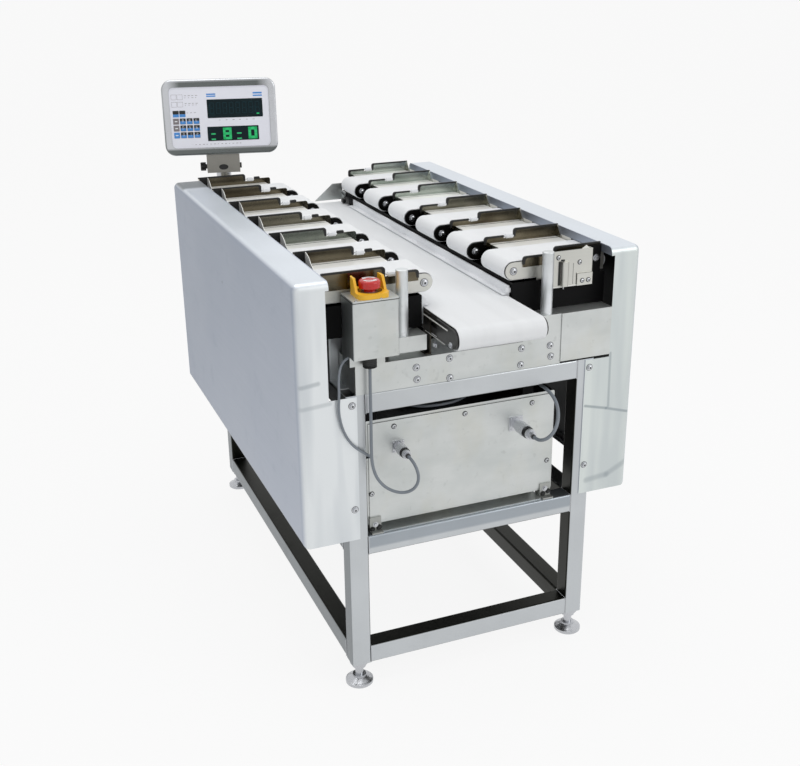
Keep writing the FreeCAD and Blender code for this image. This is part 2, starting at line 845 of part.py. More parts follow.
def electrical_box():
    """Closed sheet box with a raised door in front."""
    y0, y1 = front + ebox_front, front + ebox_front + ebox_depth
    body = box(-ebox_left, ebox_right, y0 + ebox_door, y1, ebox_base, ebox_top)
    body = body.makeFillet(ebox_corner, edges_along(body, lambda m, d: abs(d.y) > 1))
    m = ebox_door_margin
    door = box(-ebox_left + m, ebox_right - m, y0, y0 + ebox_door + 1,
               ebox_base + m, ebox_top - m)
    return fused([body, door])


def bracket_places():
    """Left edges of the two brackets below the electrical box."""
    return -ebox_left + 4, ebox_right - 4 - ebox_bracket_width


def box_brackets():
    """Angle brackets that hold the electrical box to the mid rail and the top rail."""
    pieces = []
    y_face = front + ebox_front + ebox_door
    t = ebox_bracket_sheet
    low = mid_rail_base + tube
    for x in bracket_places():
        x1 = x + ebox_bracket_width
        foot = box(x, x1, front + 3, front + tube - 2, low, low + t)
        leg = box(x, x1, front + ebox_front - t, front + ebox_front, low, low + ebox_bracket_leg)
        seat = box(x, x1, y_face, front + tube - 2, low, ebox_base)
        pieces.append(fused([foot, leg, seat]))
    for x in hanger_places:
        pieces.append(box(x, x + ebox_bracket_width, y_face, front + tube - 2, ebox_top,
                          top_rail_base))
    return pieces


def box_shelf():
    """Angle plate on the front mid rail that closes the gap below the electrical box."""
    left, right = bracket_places()
    x0, x1 = left + ebox_bracket_width + running_gap, right - running_gap
    low = mid_rail_base + tube
    plate = box(x0, x1, front + shelf_front, front + shelf_rear, low, low + shelf_sheet)
    wall = box(x0, x1, front + shelf_rear - shelf_sheet, front + shelf_rear, low,
               ebox_base - running_gap)
    return fused([plate, wall])


def box_connectors():
    """Round connectors on square flanges on the front of the electrical box."""
    connectors = []
    face = front + ebox_front
    out = V(0, -1, 0)
    for (x, z), side, length, radius in (
            (connector_left, left_connector_flange, left_connector_length,
             left_connector_radius),
            (connector_right, right_connector_flange, right_connector_length,
             right_connector_radius)):
        half = side / 2
        flange = box(x - half, x + half, face - connector_flange_sheet, face, z - half, z + half)
        barrel = rod(x, face, z, radius, length * 0.45, out)
        ring = rod(x, face - length * 0.25, z, radius + connector_ring, length * 0.4, out)
        tail = rod(x, face, z, radius - connector_tail, length, out)
        connectors.append(fused([flange, barrel, ring, tail]))
    return connectors


def box_elbow():
    """Low elbow gland on top of the electrical box where the right cable ends."""
    x, y, z = right_cable_route[-1]
    w, length, height = elbow_size
    elbow = box(x - w / 2, x + w / 2, front + y + cable_gap, front + y + length, ebox_top,
                ebox_top + height)
    return elbow.makeFillet(4, edges_along(elbow, lambda m, d: m.z > ebox_top + height - 1))


def cable(route, size):
    """A plain tube along a route: straight runs joined by tangent arcs."""
    points = [V(x, front + y, z) for x, y, z in route]
    edges = []
    start = points[0]
    radii = []
    for before, corner, after in zip(points, points[1:], points[2:]):
        run_in, run_out = corner - before, after - corner
        shorter = min(run_in.Length, run_out.Length)
        turn = run_in.getAngle(run_out)
        trim = 0.45 * shorter
        radius = trim / math.tan(turn / 2)
        radii.append(radius)
        into = corner - V(run_in).normalize() * trim
        out = corner + V(run_out).normalize() * trim
        to_centre = (V(run_out).normalize() - V(run_in).normalize()).normalize()
        centre = corner + to_centre * math.hypot(radius, trim)
        edges.append(Part.makeLine(start, into))
        edges.append(Part.Arc(into, centre - to_centre * radius, out).toShape())
        start = out
    edges.append(Part.makeLine(start, points[-1]))
    path = Part.Wire(edges)
    section = Part.Wire(Part.makeCircle(size / 2, points[0], points[1] - points[0]))
    tube_solid = path.makePipeShell([section], True, False)
    expected = math.pi * size ** 2 / 4 * path.Length
    print("cable length", round(path.Length, 1), "least radius", round(min(radii), 1),
          "volume ratio", round(tube_solid.Volume / expected, 4))
    return tube_solid


def turned(shape):
    """Turn a piece that is drawn square to the frame about the pole."""
    shape.rotate(V(pole_x, pole_y, 0), V(0, 0, 1), -housing_turn)
    return shape


def leaned(shape):
    """Lean a piece of the indicator back about its clamp bolt, then turn it."""
    shape.rotate(V(pole_x, pole_y, tilt_z), V(1, 0, 0), -housing_tilt)
    return turned(shape)


def indicator_housing():
    """Pressed housing: a wide rim, a tapered rear shell and a recess for the panel."""
    y_front = pole_y - housing_front
    rim = rounded_face(housing_width, housing_height, housing_corner).extrude(V(0, 0, housing_rim))
    rim = rim.makeFillet(5, [e for e in rim.Edges if abs(e.CenterOfMass.z) < 0.01])
    t = housing_taper
    wide = rounded_face(housing_width - 6, housing_height - 6, housing_corner)
    small = rounded_face(housing_width - 2 * t, housing_height - 2 * t, housing_corner)
    wide.translate(V(0, 0, housing_rim))
    small.translate(V(0, 0, housing_depth))
    shell = Part.makeLoft([wide.OuterWire, small.OuterWire], True, True)
    body = fused([rim, shell])
    recess = rounded_face(panel_width + 1, panel_height + 1, panel_corner)
    body = body.cut(recess.extrude(V(0, 0, panel_recess)))
    body.rotate(V(0, 0, 0), V(1, 0, 0), -90)
    body.translate(V(pole_x, y_front, housing_middle))
    return leaned(body)


def indicator_panel():
    """Flat front panel in the recess of the housing."""
    y_front = pole_y - housing_front
    plate = rounded_face(panel_width, panel_height, panel_corner).extrude(V(0, 0, panel_sheet))
    plate.rotate(V(0, 0, 0), V(1, 0, 0), -90)
    plate.translate(V(pole_x, y_front + panel_recess - panel_sheet, housing_middle))
    return leaned(plate)


def indicator_bracket():
    """Channel bracket below the housing, open to the rear, with an oval hole."""
    half = bracket_u_width / 2
    y0, y1 = pole_y - bracket_u_front - bracket_u_sheet, pole_y + bracket_u_rear
    z0 = tilt_z - bracket_u_below
    z1 = housing_middle - housing_height / 2
    block = box(pole_x - half, pole_x + half, y0, y1, z0, z1)
    hollow = box(pole_x - half + bracket_u_sheet, pole_x + half - bracket_u_sheet,
                 y0 + bracket_u_sheet, y1 + 1, z0 - 1, z1 + 1)
    channel = block.cut(hollow)
    rx, rz = bracket_hole
    hole = Part.Face(Part.Wire(Part.Ellipse(V(0, 0, 0), rx, rz).toShape()))
    hole = hole.extrude(V(0, 0, 4 * bracket_u_sheet))
    hole.rotate(V(0, 0, 0), V(1, 0, 0), -90)
    hole.translate(V(pole_x, y0 - bracket_u_sheet, tilt_z))
    pin = rod(pole_x - half - 1, pole_y, tilt_z, knob_stem_radius + pin_fit,
              bracket_u_width + 2, V(1, 0, 0))
    return leaned(channel.cut([hole, pin]))


def indicator_pole():
    """Round pole with a cross bush at its top."""
    outer = rod(pole_x, pole_y, pole_base, pole_radius, tilt_z - pole_base, V(0, 0, 1))
    bore = rod(pole_x, pole_y, pole_base, pole_radius - pole_wall,
               tilt_z - pole_base - 2 * tilt_bush_radius, V(0, 0, 1))
    half = bracket_u_width / 2 - bracket_u_sheet - running_gap
    bush = rod(pole_x - half, pole_y, tilt_z, tilt_bush_radius, 2 * half, V(1, 0, 0))
    pole = fused([outer.cut(bore), bush])
    return turned(pole.cut(rod(pole_x - half - 1, pole_y, tilt_z, knob_stem_radius + pin_fit,
                               2 * half + 2, V(1, 0, 0))))


def indicator_knob():
    """Clamp bolt through bracket and bush with a black knob at its left end."""
    half = bracket_u_width / 2
    stem = rod(pole_x - half - 3, pole_y, tilt_z, knob_stem_radius, bracket_u_width + 8, V(1, 0, 0))
    x0 = pole_x - half - 3 - knob_length
    knob = rod(x0, pole_y, tilt_z, knob_radius, knob_length, V(1, 0, 0))
    knob = knob.makeFillet(2.5, edges_along(knob, lambda m, d: abs(m.x - x0) < 0.01))
    hub = rod(pole_x - half - 3, pole_y, tilt_z, 6, 3 - running_gap, V(1, 0, 0))
    nut = rod(pole_x + half + running_gap, pole_y, tilt_z, 7, 5, V(1, 0, 0))
    return leaned(fused([stem, knob, hub, nut]))


def pole_brackets():
    """Saddles that hold the pole to the rear top rail and the rear mid rail."""
    saddles = []
    half = pole_saddle_width / 2
    for base in (mid_rail_base, top_rail_base):
        block = box(pole_x - half, pole_x + half, rear, pole_y, base + pole_saddle_inset,
                    base + tube - pole_saddle_inset)
        bore = rod(pole_x, pole_y, base, pole_radius + pole_saddle_fit, tube, V(0, 0, 1))
        saddles.append(block.cut(bore))
    return saddles


nodes = {
    "frame_legs": frame_legs(),
    "bottom_rails": rail_ring(foot_height),
    "mid_rails": rail_ring(mid_rail_base),
    "top_rails": rail_ring(top_rail_base),
    "levelling_feet": levelling_feet(),
    "right_cover": [cover()],
    "left_cover": [mirrored(cover())],
    "front_beam": [folded_beam(-beam_left, beam_right, front, front + beam_depth)],
    "rear_beam": [folded_beam(-rear_beam_half, rear_beam_half, rear - beam_depth, rear)],
    "front_right_plate": [front_right_plate()],
    "left_post_block": [left_post_block()],
    "right_post_block": [right_post_block()],
    "left_post": [post(-left_post_x, left_block_top)],
    "right_post": [post(right_post_x, tray_base)],
    "stop_box": [stop_box()],
    "stop_guard": [stop_guard()],
    "stop_collar": [stop_collar()],
    "stop_button": [stop_button()],
    "stop_gland": [stop_gland()],
    "electrical_box": [electrical_box()],
    "box_brackets": box_brackets(),
    "box_shelf": [box_shelf()],
    "box_connectors": box_connectors() + [box_elbow()],
    "stop_cable": [cable(stop_cable_route, stop_cable_size)],
    "right_cable": [cable(right_cable_route, right_cable_size)],
    "conveyor_belt": [conveyor_belt()],
    "conveyor_rollers": conveyor_rollers(),
    "conveyor_side_right": [conveyor_side()],
    "conveyor_side_left": [mirrored(conveyor_side())],
    "conveyor_bed": [conveyor_bed()],
    "conveyor_rails": [conveyor_rail(), mirrored(conveyor_rail())],
    "conveyor_feet": conveyor_feet(),
    "rear_deflector": [rear_deflector()],
    "tray_supports": tray_supports(),
    "drive_cover": [drive_cover()],
    "drive_side_panel": [drive_side_panel()],
    "indicator_housing": [indicator_housing()],
    "indicator_panel": [indicator_panel()],
    "indicator_bracket": [indicator_bracket()],
    "indicator_knob": [indicator_knob()],
    "indicator_pole": [indicator_pole()],
    "pole_brackets": pole_brackets(),
}

for name, make in (("weigh_belts", weigh_belts), ("head_plates", head_plates),
                   ("head_rollers", head_rollers), ("head_beds", head_beds), ("guides", guides)):
    nodes["right_" + name] = make("right")
    nodes["left_" + name] = [mirrored(shape) for shape in make("left")]

nodes["right_head_mounts"] = head_mounts()
nodes["left_head_mounts"] = [mirrored(shape) for shape in head_mounts()]
nodes["right_tray"] = [tray()]
nodes["left_tray"] = [mirrored(tray())]

whole = Part.makeCompound([shape for name, shapes in nodes.items() if "cable" not in name
                           for shape in shapes])
bounds = whole.optimalBoundingBox(False)
centre_y = (bounds.YMin + bounds.YMax) / 2
print("front of the frame at y", front - centre_y)
print("box", [round(v, 2) for v in (bounds.XMin, bounds.XMax, bounds.YMin, bounds.YMax, bounds.ZMax)])

os.makedirs("parts", exist_ok=True)
for name, shapes in nodes.items():
    for shape in shapes:
        shape.translate(V(0, -centre_y, 0))
    for shape in shapes:
        if not shape.isValid() or len(shape.Solids) != 1:
            print("check", name, shape.isValid(), len(shape.Solids))
    body = shapes[0] if len(shapes) == 1 else Part.makeCompound(shapes)
    body.exportStep(os.path.join("parts", name + ".step"))
print(len(nodes), "nodes")
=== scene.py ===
import math

import bmesh
import bpy
from bpy.props import FloatProperty, FloatVectorProperty, PointerProperty
from mathutils import Matrix, Vector


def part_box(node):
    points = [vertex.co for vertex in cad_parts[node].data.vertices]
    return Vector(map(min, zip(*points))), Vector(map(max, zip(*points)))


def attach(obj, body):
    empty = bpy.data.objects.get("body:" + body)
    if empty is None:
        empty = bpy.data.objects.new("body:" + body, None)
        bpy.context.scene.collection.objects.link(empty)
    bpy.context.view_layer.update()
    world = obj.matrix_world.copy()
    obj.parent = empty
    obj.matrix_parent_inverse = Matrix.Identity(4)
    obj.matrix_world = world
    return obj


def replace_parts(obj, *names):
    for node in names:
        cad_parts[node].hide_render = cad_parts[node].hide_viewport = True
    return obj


bl_info = {
    "name": "Belt combination weigher",
    "version": (1, 0, 0),
    "blender": (4, 5, 0),
    "location": "3D View > Sidebar > Weigher",
    "description": "Finishes, fasteners, belts, cables and studio for a belt combination weigher",
    "category": "Object",
}

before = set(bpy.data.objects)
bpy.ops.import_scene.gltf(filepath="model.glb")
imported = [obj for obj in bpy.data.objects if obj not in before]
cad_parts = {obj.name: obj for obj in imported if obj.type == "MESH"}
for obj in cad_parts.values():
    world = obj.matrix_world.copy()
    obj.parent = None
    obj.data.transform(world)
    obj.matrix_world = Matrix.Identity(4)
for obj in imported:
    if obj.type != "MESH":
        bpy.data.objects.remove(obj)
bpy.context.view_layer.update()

# The frame's own places, in metres
MM = 0.001
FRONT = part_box("frame_legs")[0].y
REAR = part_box("frame_legs")[1].y
BOX_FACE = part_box("electrical_box")[0].y
HEAD_COUNT = 6
HEAD_PITCH = 0.1673
HEAD_BELT = 0.098
BELT_THICKNESS = 0.002
HEAD_AXIS = 0.828
HEAD_NOSE = {"right": 0.0995, "left": 0.0875}
HEAD_TAIL = 0.287
GUIDE_SHIFT = {"right": 0.0, "left": 19.0}
SIGN = {"right": 1, "left": -1}
GUIDE_BACK = [44 + 167.3 * k for k in range(HEAD_COUNT)] + [1034.5]
GUIDE_DEPTH = 57.3
RAIL_BASES = (53, 303, 602)
GUIDE_LOW = 854.5
GUIDE_HIGH = 867.0
POLE = (-208.7, 1087.0)
TILT_HEIGHT = 884.0
PANEL_MIDDLE = 1010.7
PANEL_AHEAD = 46.0


def at(x, y, z):
    """A point from millimetres: x from the middle, y from the front of the frame, z from the floor."""
    return Vector((x * MM, FRONT + y * MM, z * MM))


def linear(code):
    """A screen colour such as c8ccd2 as linear red, green and blue."""
    shares = [int(code[i:i + 2], 16) / 255 for i in (0, 2, 4)]
    return tuple(s / 12.92 if s < 0.04045 else ((s + 0.055) / 1.055) ** 2.4 for s in shares)


def colour(name, text, code):
    """A colour property."""
    return FloatVectorProperty(name=name, description=text, subtype="COLOR", size=3, min=0, max=1,
                               default=linear(code))


def length(name, text, value):
    """A length property in metres."""
    return FloatProperty(name=name, description=text, subtype="DISTANCE", unit="LENGTH", min=0,
                         default=value)


class WEIGHER_PG_colours(bpy.types.PropertyGroup):
    """Colours of the finishes."""
    cover: colour("Covers", "Brushed sheet of the side covers", "c3c9d4")
    tube: colour("Tube", "Brushed tube of the frame", "c6cacd")
    beam: colour("Beams", "Sheet of the beams, plates and boxes", "d9dcdb")
    plate: colour("Plates", "Satin plates of the first heads", "d2d2cc")
    bronze: colour("Bronze", "Warm reflecting brackets", "908e88")
    polished: colour("Guides", "Polished sheet of the product guides", "8d8774")
    turned: colour("Turned steel", "Posts, bolts and turned pieces", "c6c8cc")
    black_plate: colour("Black plates", "Black side plates and brackets", "1b1918")
    # Black sheet, partly painted shade: it darkens closed spaces.
    black_sheet_and_shade: colour("Black sheet", "Trays and closed spaces", "0c0c0d")
    belt: colour("Belts", "White food belt", "eceef0")
    rail: colour("Rails", "White sliding plastic", "eef0f3")
    guard: colour("Guard", "Yellow guard of the stop button", "f6bd2b")
    button: colour("Button", "Red head of the stop button", "c4120e")
    film: colour("Key film", "Pale film of the indicator", "eeeff8")
    key: colour("Keys", "Blue keys", "3f8cd6")
    key_grey: colour("Grey keys", "Grey keys", "7b7478")
    display: colour("Display", "Dark window of the displays", "0a1d22")
    digit: colour("Digits", "Lit green segments", "1fb469")
    cable: colour("Cables", "Grey cable jacket", "7f868e")
    rubber: colour("Rubber", "Black plastic and rubber", "121212")
    floor: colour("Floor", "Pale studio floor", "fcfcfc")


class WEIGHER_PG_sizes(bpy.types.PropertyGroup):
    """Sizes of the small pieces."""
    bolt_head: length("Bolt head", "Radius of the beam and cover bolts", 0.0049)
    screw_head: length("Screw head", "Radius of the small cover screws", 0.0045)
    nose_bolt: length("Nose bolt", "Radius of the bolt at each head's nose", 0.0054)
    stop_cable: length("Stop cable", "Diameter of the stop switch's cable", 0.006)
    right_cable: length("Right cable", "Diameter of the right cable", 0.007)
    left_lead: length("Left lead", "Diameter of the short lead at the left", 0.005)
    upper_lead: length("Upper lead", "Diameter of the short lead above the box", 0.006)
    edge: length("Edge trim", "Height of the black trim on the guides", 0.0026)


class WEIGHER_PG_studio(bpy.types.PropertyGroup):
    """Camera and lamps."""
    place: FloatVectorProperty(name="Camera", description="Place of the camera", subtype="XYZ",
                               unit="LENGTH", size=3,
                               default=(-0.87698, FRONT - 1.78406, 1.40522))
    yaw: FloatProperty(name="Yaw", description="Turn from +Y towards +X", subtype="ANGLE",
                       default=math.radians(22.005))
    pitch: FloatProperty(name="Pitch", description="Dip below the horizon", subtype="ANGLE",
                         default=math.radians(21.338))
    roll: FloatProperty(name="Roll", description="Turn about the line of sight", subtype="ANGLE",
                        default=math.radians(-0.623))
    lens: FloatProperty(name="Lens", description="Focal length on a 36 mm sensor", unit="CAMERA",
                        min=1, default=49.87)
    key: FloatProperty(name="Key lamp", description="Power of the front right lamp", unit="POWER",
                       min=0, default=34)
    top: FloatProperty(name="Top lamp", description="Power of the lamp overhead", unit="POWER",
                       min=0, default=26)
    sky: FloatProperty(name="Sky", description="Level of the even light", min=0, default=0.60)


# Shader graphs

class Signal:
    """The value of a socket, so that maths on it is written as an expression."""

    def __init__(self, finish, socket):
        self.finish = finish
        self.socket = socket

    def maths(self, operation, first, second):
        return self.finish.add("ShaderNodeMath", {"operation": operation}, {0: first, 1: second})

    def __add__(self, other):
        return self.maths("ADD", self, other)

    def __radd__(self, other):
        return self.maths("ADD", other, self)

    def __sub__(self, other):
        return self.maths("SUBTRACT", self, other)

    def __rsub__(self, other):
        return self.maths("SUBTRACT", other, self)

    def __mul__(self, other):
        return self.maths("MULTIPLY", self, other)

    def __rmul__(self, other):
        return self.maths("MULTIPLY", other, self)

    def __truediv__(self, other):
        return self.maths("DIVIDE", self, other)

    def __pow__(self, other):
        return self.maths("POWER", self, other)

    def above(self, other):
        """1 where the value is above another, else 0."""
        return self.maths("GREATER_THAN", self, other)

    def most(self, other):
        """The larger of two values."""
        return self.maths("MAXIMUM", self, other)

    def sign(self):
        """-1 or 1 by the side that the value lies on."""
        return self.maths("SIGN", self, 0.0)


class Graph:
    """A node tree of a material or world, and the nodes that are added to it."""

    def __init__(self, owner):
        owner.use_nodes = True
        self.tree = owner.node_tree
        self.tree.nodes.clear()

    def add(self, kind, settings=None, inputs=None, output=0):
        """A node of a type, with its settings first and then its sockets' values or links."""
        node = self.tree.nodes.new(kind)
        for key, value in (settings or {}).items():
            setattr(node, key, value)
        for key, value in (inputs or {}).items():
            if isinstance(value, Signal):
                self.tree.links.new(value.socket, node.inputs[key])
            else:
                node.inputs[key].default_value = value
        return Signal(self, node.outputs[output])

    def rays(self):
        """Signals that are 1 for what the camera sees, straight, mirrored or through glass."""
        return [self.add("ShaderNodeLightPath", output=kind)
                for kind in ("Is Camera Ray", "Is Glossy Ray", "Is Transmission Ray")]

    def end(self, kind, shader):
        """The output node, fed by a shader."""
        node = self.tree.nodes.new(kind)
        self.tree.links.new(shader.socket, node.inputs["Surface"])


class Finish(Graph):
    """A material's graph, with the place and normal of each point of the object."""

    def __init__(self, name):
        self.material = bpy.data.materials.new(name)
        super().__init__(self.material)
        self.place = self.add("ShaderNodeTexCoord", output="Object")
        self.x, self.y, self.z = self.parts(self.place)
        self.nx, self.ny, self.nz = self.parts(self.add("ShaderNodeTexCoord", output="Normal"))

    def parts(self, vector):
        """The x, y and z of a vector."""
        node = self.add("ShaderNodeSeparateXYZ", None, {0: vector}).socket.node
        return [Signal(self, socket) for socket in node.outputs]

    def noise(self, cycles, detail=2.0, shift=0.0):
        """Noise with its own number of cycles a metre along each axis."""
        vector = self.add("ShaderNodeMapping", None,
                          {"Vector": self.place, "Scale": cycles, "Location": (shift, shift, shift)})
        return self.add("ShaderNodeTexNoise", None,
                        {"Vector": vector, "Scale": 1.0, "Detail": detail, "Roughness": 0.55})

    def band(self, value, low, high, soft):
        """1 between two limits, with soft ends."""
        return self.ramp(value, low - soft, low) * (1 - self.ramp(value, high, high + soft))

    def ramp(self, value, low, high):
        """0 below low, 1 above high and even between them."""
        return self.add("ShaderNodeMapRange", {"clamp": True},
                        {"Value": value, "From Min": low, "From Max": high})

    def blend(self, factor, low, high):
        """A colour between two, each given as a value, a signal or a screen colour."""
        low, high = (shade(linear(c), 1) if isinstance(c, str) else c for c in (low, high))
        return self.add("ShaderNodeMix", {"data_type": "RGBA"}, {0: factor, 6: low, 7: high}, 2)

    def bump(self, height, strength, distance):
        """A normal bent by a height."""
        return self.add("ShaderNodeBump", None,
                        {"Height": height, "Strength": strength, "Distance": distance})

    def surface(self, sockets):
        """The shader and the material's output."""
        self.end("ShaderNodeOutputMaterial", self.add("ShaderNodeBsdfPrincipled", None, sockets))
        return self.material


def shade(tint, factor):
    """A colour made darker or lighter, with its alpha."""
    return tuple(min(1.0, c * factor) for c in tint) + (1.0,)


GRAIN_ALONG = {"x": (5, 420, 420), "y": (420, 5, 420), "z": (420, 420, 5)}
FINE_ALONG = {"x": (14, 1700, 1700), "y": (1700, 14, 1700), "z": (1700, 1700, 14)}


def inward(finish):
    """How far a face looks to the machine's middle or down, the mask of painted shade on the covers and
    tubes.
    """
    to_x = finish.nx * finish.x.sign()
    to_y = finish.ny * finish.y.sign()
    return (0 - to_x).most(0 - to_y).most(0 - finish.nz)


def stroke(finish, x, z, start, end, width):
    """1 on a soft line between two places in the x-z plane, in metres."""
    (x0, z0), (x1, z1) = start, end
    dx, dz = x1 - x0, z1 - z0
    run = dx * dx + dz * dz
    along = finish.ramp((x - x0) * (dx / run) + (z - z0) * (dz / run), 0, 1)
    off_x, off_z = x - x0 - along * dx, z - z0 - along * dz
    return 1 - finish.ramp((off_x * off_x + off_z * off_z) ** 0.5, width * 0.3, width)


# Curved reflections on the flanges: start and end in metres, half width and strength
FLANGE_LINES = (
    ((0.3001, 0.6471), (0.3021, 0.5315), 0.004, 0.45), ((0.2473, 0.5406), (0.2976, 0.5278), 0.004, 0.6),
    ((0.2976, 0.5278), (0.3565, 0.5101), 0.004, 0.6), ((0.2595, 0.3715), (0.3077, 0.3760), 0.009, 0.35),
    ((0.3077, 0.3760), (0.3551, 0.3995), 0.009, 0.35), ((-0.3503, 0.6730), (-0.3162, 0.6773), 0.006, 0.4),
    ((-0.3522, 0.6305), (-0.2948, 0.6347), 0.006, 0.3))
COVER_INNER_FACE = 0.2925
DIMPLE = (FRONT + 0.540, 0.730)


def cover_painted_light(finish, base):
    """Painted light and shade: a painted dark shade on the inner side, a painted highlight as a lighter
    strip at the bend and on the front faces, broad soft painted reflections, painted reflection lines on
    the flanges, and painted shade in a dimple and on the left top near the rear.
    """
    x, y, z = finish.x, finish.y, finish.z
    # Painted shade: faces of the covers' outer sheet that look inward or down are painted near black at
    # the end.
    outer = (x * x.sign()).above(COVER_INNER_FACE)
    dark = finish.ramp(inward(finish), 0.2, 0.5) * outer
    front = finish.ramp(0 - finish.ny, 0.4, 0.9)
    up = finish.ramp(finish.nz, 0.5, 0.9)
    slope = finish.ramp(z * 0.8 + y * 0.5 + 0.1 * finish.noise((1.5, 1.5, 1.5), 2.0, 9.0), -0.15, 0.70)
    # Painted highlight: the front faces are painted pale, paler on the left cover.
    pale = finish.blend(x.above(0), "e4e8ea", "d8dedc")
    base = finish.blend(front, base, pale)
    # Painted shade: the other faces darken upwards and towards the rear.
    base = finish.blend(slope * 0.78 * (1 - front) * (1 - up), base, "8891a0")
    # Painted broad soft reflections on all but the front faces.
    cloud = finish.ramp(finish.noise((1.1, 2.4, 3.4), 4.0, 2.6), 0.35, 0.75)
    base = finish.blend(cloud * 0.22 * (1 - front), base, "9ba3b1")
    # Painted highlight on the upward faces of the covers' outer sheet.
    base = finish.blend(up * outer * 0.55, base, "eef3f6")
    # Painted reflection lines on the front faces.
    for start, end, width, strength in FLANGE_LINES:
        line = stroke(finish, x, z, start, end, width)
        base = finish.blend(line * strength * front, base, "7f8a90")
    # Painted shade in a small dimple on the left cover.
    y_off, z_off = y - DIMPLE[0], z - DIMPLE[1]
    dimple_shade = 1 - finish.ramp((y_off * y_off + z_off * z_off) ** 0.5, 0.002, 0.0042)
    base = finish.blend(dimple_shade * (0 - x).above(0.35) * 0.7, base, "5a6069")
    streak = finish.ramp(finish.noise((22, 1, 2.2), 2.0, 4.4), 0.42, 0.62)
    base = finish.blend(streak * front * 0.28, base, "9aa3ad")
    # Painted dark reflection on the left cover's top near the rear.
    rear = finish.band(y, 0.42, 0.52, 0.02) * finish.ramp(finish.nz, 0.6, 0.9)
    base = finish.blend(rear * 0.75 * (0 - x).above(0), base, "5b6060")
    return finish.blend(dark, base, "0d0e0f")


def tube_painted_shade(finish, base):
    """Painted shade: dark where a tube looks to the middle and on the lowest rails' tops, darker on faces
    that look sideways, and in a band across the middle rails.
    """
    z = finish.z
    up = finish.ramp(finish.nz, 0.4, 0.8)
    low = 1 - finish.ramp(z, 0.12, 0.14)
    dark = finish.ramp(inward(finish), 0.4, 0.7).most(up * low)
    base = finish.blend(dark, base, "23241f")
    # Painted shade on the faces that look sideways.
    side = finish.ramp(finish.nx * finish.nx, 0.5, 0.9)
    base = finish.blend(side * (1 - dark) * 0.75, base, "5f666a")
    x = finish.x
    # Painted shade in a band across the middle rails between the legs, starting at a fixed height.
    rail = finish.band(z, 0.32, 0.40, 0.005) * (1 - (x * x).above(0.224 * 0.224)) * (1 - dark)
    return finish.blend(rail * 0.55, base, "7f8a95")


def box_painted_light(finish, base):
    """Mottled faces with painted reflections, painted shade on the left faces above the top rail, darker
    upwards, and below it a top in the shade of the top rail and right faces, both painted dark as shade.
    """
    base = beam_tone(finish, base)
    up = finish.ramp(finish.nz, 0.4, 0.8)
    z = finish.z
    low = 1 - finish.ramp(z, 0.60, 0.62)
    right = finish.ramp(finish.nx, 0.5, 0.9)
    left = finish.ramp(0 - finish.nx, 0.5, 0.9) * (1 - low)
    slope = finish.ramp(z, 0.70, 0.83)
    # Painted shade on the left faces above the top rail, darker upwards.
    base = finish.blend(left, base, finish.blend(slope, "aab0b1", "8b9091"))
    # Painted shade: the tops and right faces below the top rail are painted near black.
    return finish.blend((up * low).most(right * low), base, "08090a")


def beam_tone(finish, base):
    """Broad pale and greenish reflections of the surroundings, with small dull spots."""
    broad = finish.ramp(finish.noise((9, 9, 16), 3.0, 6.1), 0.42, 0.66)
    warm = finish.ramp(finish.noise((13, 13, 7), 3.0, 1.9), 0.50, 0.70)
    spots = finish.ramp(finish.noise((70, 70, 70), 3.0, 3.3), 0.62, 0.74)
    base = finish.blend(broad * 0.40, base, "b9bfbe")
    base = finish.blend(warm * 0.25, base, "c9c6b4")
    return finish.blend(spots * 0.18 + 0.12, base, "8f9391")


def bracket_painted_shade(finish, base):
    """Painted shade: hangers above the box painted near black, and brackets below painted grey in the
    box's shade.
    """
    return finish.blend(finish.ramp(finish.z, 0.55, 0.56), "a9aba8", "0b0b0c")


def housing_painted_light(finish, base):
    """Painted dark reflections in bands above and below the panel, fading to bright edges, and painted
    shade on the left faces, darker lower down.
    """
    z = finish.z
    x = finish.x
    # Painted dark reflection bands on the front faces above and below the panel.
    ahead = finish.ramp(0 - finish.ny, 0.5, 0.9)
    over = finish.band(z, 1.088, 1.100, 0.006) * finish.band(x, -0.31, -0.12, 0.03)
    under = finish.band(z, 0.922, 0.934, 0.006)
    base = finish.blend(over.most(under) * ahead * 0.85, base, "474e4a")
    # Painted shade on the left faces, darker lower down.
    left = finish.ramp(0 - finish.nx, 0.3, 0.7)
    fall = 1 - finish.ramp(z, 0.93, 1.05)
    return finish.blend(left * (0.35 + 0.5 * fall), base, "5c625f")


def guide_painted_reflection(finish, base):
    """Painted reflections: bronze to pale green webs, streaky end faces near the covers and pale floor
    flanges on the upward faces.
    """
    y = finish.y
    x = finish.x
    up = finish.ramp(finish.nz, 0.5, 0.8)
    ahead = finish.ramp(0 - finish.ny, 0.5, 0.8)
    # Painted reflections: the webs' front faces turn from bronze to pale green by place.
    patch = finish.ramp(finish.noise((9, 6, 20), 2.0, 2.5), 0.40, 0.60)
    bronze = finish.blend(patch, "4d4639", "6e6757")
    green = finish.blend(patch, "8f9991", "b4bcb4")
    far = finish.ramp(y, 0.02, 0.10) * x.above(0)
    middle = finish.band(y, -0.26, 0.00, 0.04) * (0 - x).above(0) * 0.6
    web = finish.blend(far.most(middle), bronze, green)
    base = finish.blend(ahead, base, web)
    # Painted reflection streaks on the end faces near the covers.
    end = finish.ramp(finish.nx * finish.nx, 0.5, 0.9)
    streak = finish.ramp(finish.noise((9, 60, 25), 2.0, 1.7), 0.40, 0.62)
    fin = finish.blend(streak, "dfe2dd", "8f8b7c")
    base = finish.blend(end * (x * x.sign()).above(0.28), base, fin)
    # Painted highlight: upward faces, such as the floor flanges, are painted pale.
    return finish.blend(up, base, "dcdad3")


